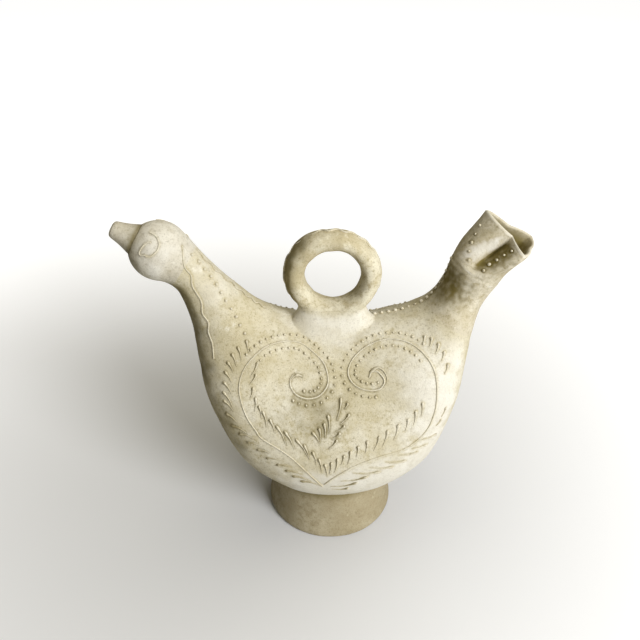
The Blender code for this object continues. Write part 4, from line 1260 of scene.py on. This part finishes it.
MIDDLE_FROND = (
    ((312, 432.1), (319.8, 443.6)), ((318.7, 427.6), (320.4, 439.6)), ((323.8, 423), (325, 437.9)),
    ((327.8, 414.9), (328.7, 432.1)), ((337.3, 439.6), (328.7, 448.8)), ((340.2, 432.7), (332.1, 439)),
    ((344.8, 425.3), (336.2, 431.6)), ((349.4, 413.8), (340.2, 424.1)), ((347.6, 402.9), (344.5, 409.2)),
    ((340.8, 397.5), (336.7, 420.1)),
)
NECK_TWIG = ((246, 340), (247.2, 346), (248.7, 352.7))
LEFT_HOOK = ((298.6, 374.8), (293.4, 376.2), (290.6, 382.0), (292.0, 390.0))
RIGHT_HOOK = ((370.0, 372.0), (377.4, 367.6), (384.3, 371.7), (387.2, 379.7), (384.0, 387.0))
BARBS = (*LEFT_OUTSIDE, *LEFT_INSIDE, *RIGHT_INSIDE, *RIGHT_OUTSIDE, *RIGHT_TOP, *MIDDLE_FROND)
print("straight strokes:", len(BARBS))

# %% [markdown]
# ## Feather strokes
# A slightly bent line from the head to the tail of each stroke is laid on the clay, point by
# point, and the tree for strokes turns it into a drop.

# %% Feather strokes
STROKE_POINTS, STROKE_BEND = 13, 0.05


def stroke_line(pixels):
    spots = np.array(pixels, dtype=float)
    line = []
    for u, v in smooth_through(spots, np.linspace(0, len(spots) - 1, STROKE_POINTS)):
        hit, normal, _, _ = seen_at(u, v)
        line.append(hit + normal * SLIP_LIFT)
    return line


strokes = []
for (u, v), (tail_u, tail_v) in BARBS:
    aside_u, aside_v = STROKE_BEND * (tail_v - v), STROKE_BEND * (tail_u - u)
    middle = ((u + tail_u) / 2 + aside_u, (v + tail_v) / 2 - aside_v)
    strokes.append(stroke_line(((u, v), middle, (tail_u, tail_v))))
strokes += [stroke_line(pixels) for pixels in (NECK_TWIG, LEFT_HOOK, RIGHT_HOOK)]
feathers = both_sides("feather_strokes", STROKES, strokes, Width=0.0023, soil=0.95)
print([p.name for p in feathers], "of", len(strokes), "strokes each")

# %% [markdown]
# ## Dots on the ridge and the tail
# Dots follow the ridge from the ring to the tail and the folds of the mouth. The ridge is
# close to the first column of the grid, so its path comes from the grid itself. The folds
# are read off the photograph like the scrolls.

# %% Ridge and tail dots
FOLD_LEFT = ((479.7, 225.3), (475.4, 233.9), (471.6, 242.5), (468.8, 251.7), (468.8, 260.3))
FOLD_RIGHT = ((511.8, 251.1), (506.1, 254), (500.9, 257.4), (497.5, 259.7), (487.1, 266), (483.7, 270.6))
RIDGE_START, RIDGE_DEGREE, DOT_FACES = 0.775, 354, DOT_SEGMENTS * DOT_RINGS
ridge_rows = range(BODY_ROW + int(len(body_part) * RIDGE_START), MOUTH_ROW - 2, 3)
ridge_line = [Vector(skin[row][round(SIDES * RIDGE_DEGREE / 360)]) for row in ridge_rows]
ridge_dots = laid("ridge_dots", DOTS, [ridge_line], Skin=SKIN_OBJECT, Spacing=0.0050, Size=0.0027, Seed=3)
fold_lines = [drawn_on(row, 4) for row in (FOLD_LEFT, FOLD_RIGHT)]
fold_dots = laid("fold_dots", DOTS, fold_lines, Skin=SKIN_OBJECT, Spacing=0.0052, Size=0.0023, Seed=4,
                 crown=0.16)
print("dots:", [(p.name, len(p.data.polygons) // DOT_FACES) for p in (ridge_dots, fold_dots)])

# %% [markdown]
# ## Dirt and painted shade beside the slip
# Dust and damp gather where a line of slip stands on the clay, and shade falls there too, so
# both are painted. Each point of the skin looks for the nearest point of slip, and the closer
# it is, the more dirt and painted shade it gets. A shader could look for such corners in every
# render, but a value on the mesh is worked out only once. It is added to the dirt and shade
# that are on the mesh already.

# %% Dirt and painted shade at the foot of the slip
BESIDE_DIRT_AND_SHADE, BESIDE_WIDTH, BESIDE_REACH = 0.36, 0.0009, 0.003
nearest_slip = KDTree(len(slip_points))
for number, point in enumerate(slip_points):
    nearest_slip.insert(point, number)
nearest_slip.balance()
for piece in (head, neck, body, tail, mouth):
    layer = piece.data.attributes["hollow"].data
    values = np.zeros(len(layer))
    layer.foreach_get("value", values)
    for number, vert in enumerate(piece.data.vertices):
        distance = nearest_slip.find(vert.co)[2]
        if distance < BESIDE_REACH:
            values[number] += BESIDE_DIRT_AND_SHADE * hump(distance, BESIDE_WIDTH)
    layer.foreach_set("value", values.astype(np.float32))
bpy.data.objects.remove(SKIN_OBJECT)
print("slip points:", len(slip_points))

# %% [markdown]
# ## Floor and room
# The jug stands on white paper in a white room. The floor grows brighter with distance and
# melts into the room, so the jug can be looked at from all sides. The glow and the white are
# seen by the camera but give the jug little light, so its left side can go dark.

# %% Floor and room
BLACK, WHITE, PAPER, ROOM = (0, 0, 0, 1), (1, 1, 1, 1), (0.64, 0.64, 0.63, 1), (0.055, 0.047, 0.024, 1)
FLOOR_REACH, GLOW_MIDDLE, GLOW_START, GLOW_END, GLOW = 6.0, (-0.06, 0.0, 0.0), -0.05, 0.90, 0.95
corners = [(x * FLOOR_REACH, y * FLOOR_REACH, 0.0) for x, y in ((-1, -1), (1, -1), (1, 1), (-1, 1))]
floor_mesh = bpy.data.meshes.new("studio_floor")
floor_mesh.from_pydata(corners, [], [(0, 1, 2, 3)])
paper = bpy.data.materials.new("white_paper")
paper.use_nodes = True
paper_tree = paper.node_tree
paper_shader = paper_tree.nodes["Principled BSDF"]
for label, value in (("Base Color", PAPER), ("Roughness", 0.9), ("Specular IOR Level", 0.1),
                     ("Emission Strength", GLOW)):
    paper_shader.inputs[label].default_value = value
place = add(paper_tree, "ShaderNodeTexCoord").outputs["Object"]
away = add(paper_tree, "ShaderNodeVectorMath", {"operation": "DISTANCE"}, i0=place, i1=GLOW_MIDDLE)
to_eye = add(paper_tree, "ShaderNodeLightPath").outputs["Is Camera Ray"]
far_off = ramp(paper_tree, away.outputs["Value"], GLOW_START, GLOW_END)
glow = blend(paper_tree, maths(paper_tree, "MULTIPLY", far_off, to_eye), BLACK, WHITE)
paper_tree.links.new(glow, paper_shader.inputs["Emission Color"])
floor_mesh.materials.append(paper)
floor = bpy.data.objects.new("studio_floor", floor_mesh)
bpy.context.scene.collection.objects.link(floor)

world = bpy.data.worlds.new("white_room")
bpy.context.scene.world = world
world.use_nodes = True
room = world.node_tree.nodes["Background"]
seen = add(world.node_tree, "ShaderNodeLightPath").outputs["Is Camera Ray"]
world.node_tree.links.new(blend(world.node_tree, seen, ROOM, WHITE), room.inputs["Color"])
print("floor reaches", FLOOR_REACH, "m")

# %% [markdown]
# ## Light
# A large soft window on the front right is the main light. A weaker one behind keeps the
# rear readable, and a warm ceiling fills the shadows from above. Discs of light are used
# and not points or a sun, because the edges of the shadows should be soft.

# %% Lights
LIGHTS = (
    ("window", (0.90, -1.00, 0.88), (0.0, 0.0, 0.10), 0.80, 27.0, (0.99, 1.0, 1.04)),
    ("back_window", (0.80, 1.70, 1.40), (0.0, 0.5, 0.0), 1.8, 7.0, (1, 1, 1)),
    ("ceiling", (-0.10, 0.10, 1.70), (0.0, 0.0, 0.0), 1.6, 9.0, (1.0, 0.95, 0.80)),
)
for name, place, aim, size, power, colour in LIGHTS:
    data = bpy.data.lights.new(name, "AREA")
    data.shape, data.size, data.energy, data.color = "DISK", size, power, colour
    light = bpy.data.objects.new(name, data)
    light.location = place
    light.rotation_euler = (Vector(aim) - Vector(place)).to_track_quat("-Z", "Y").to_euler()
    bpy.context.scene.collection.objects.link(light)
bpy.context.scene.view_settings.view_transform = "Standard"
print("lights:", [row[0] for row in LIGHTS])

# %% [markdown]
# ## End
# The last cell prints that the script has run.

# %% Finish
print("script finished")
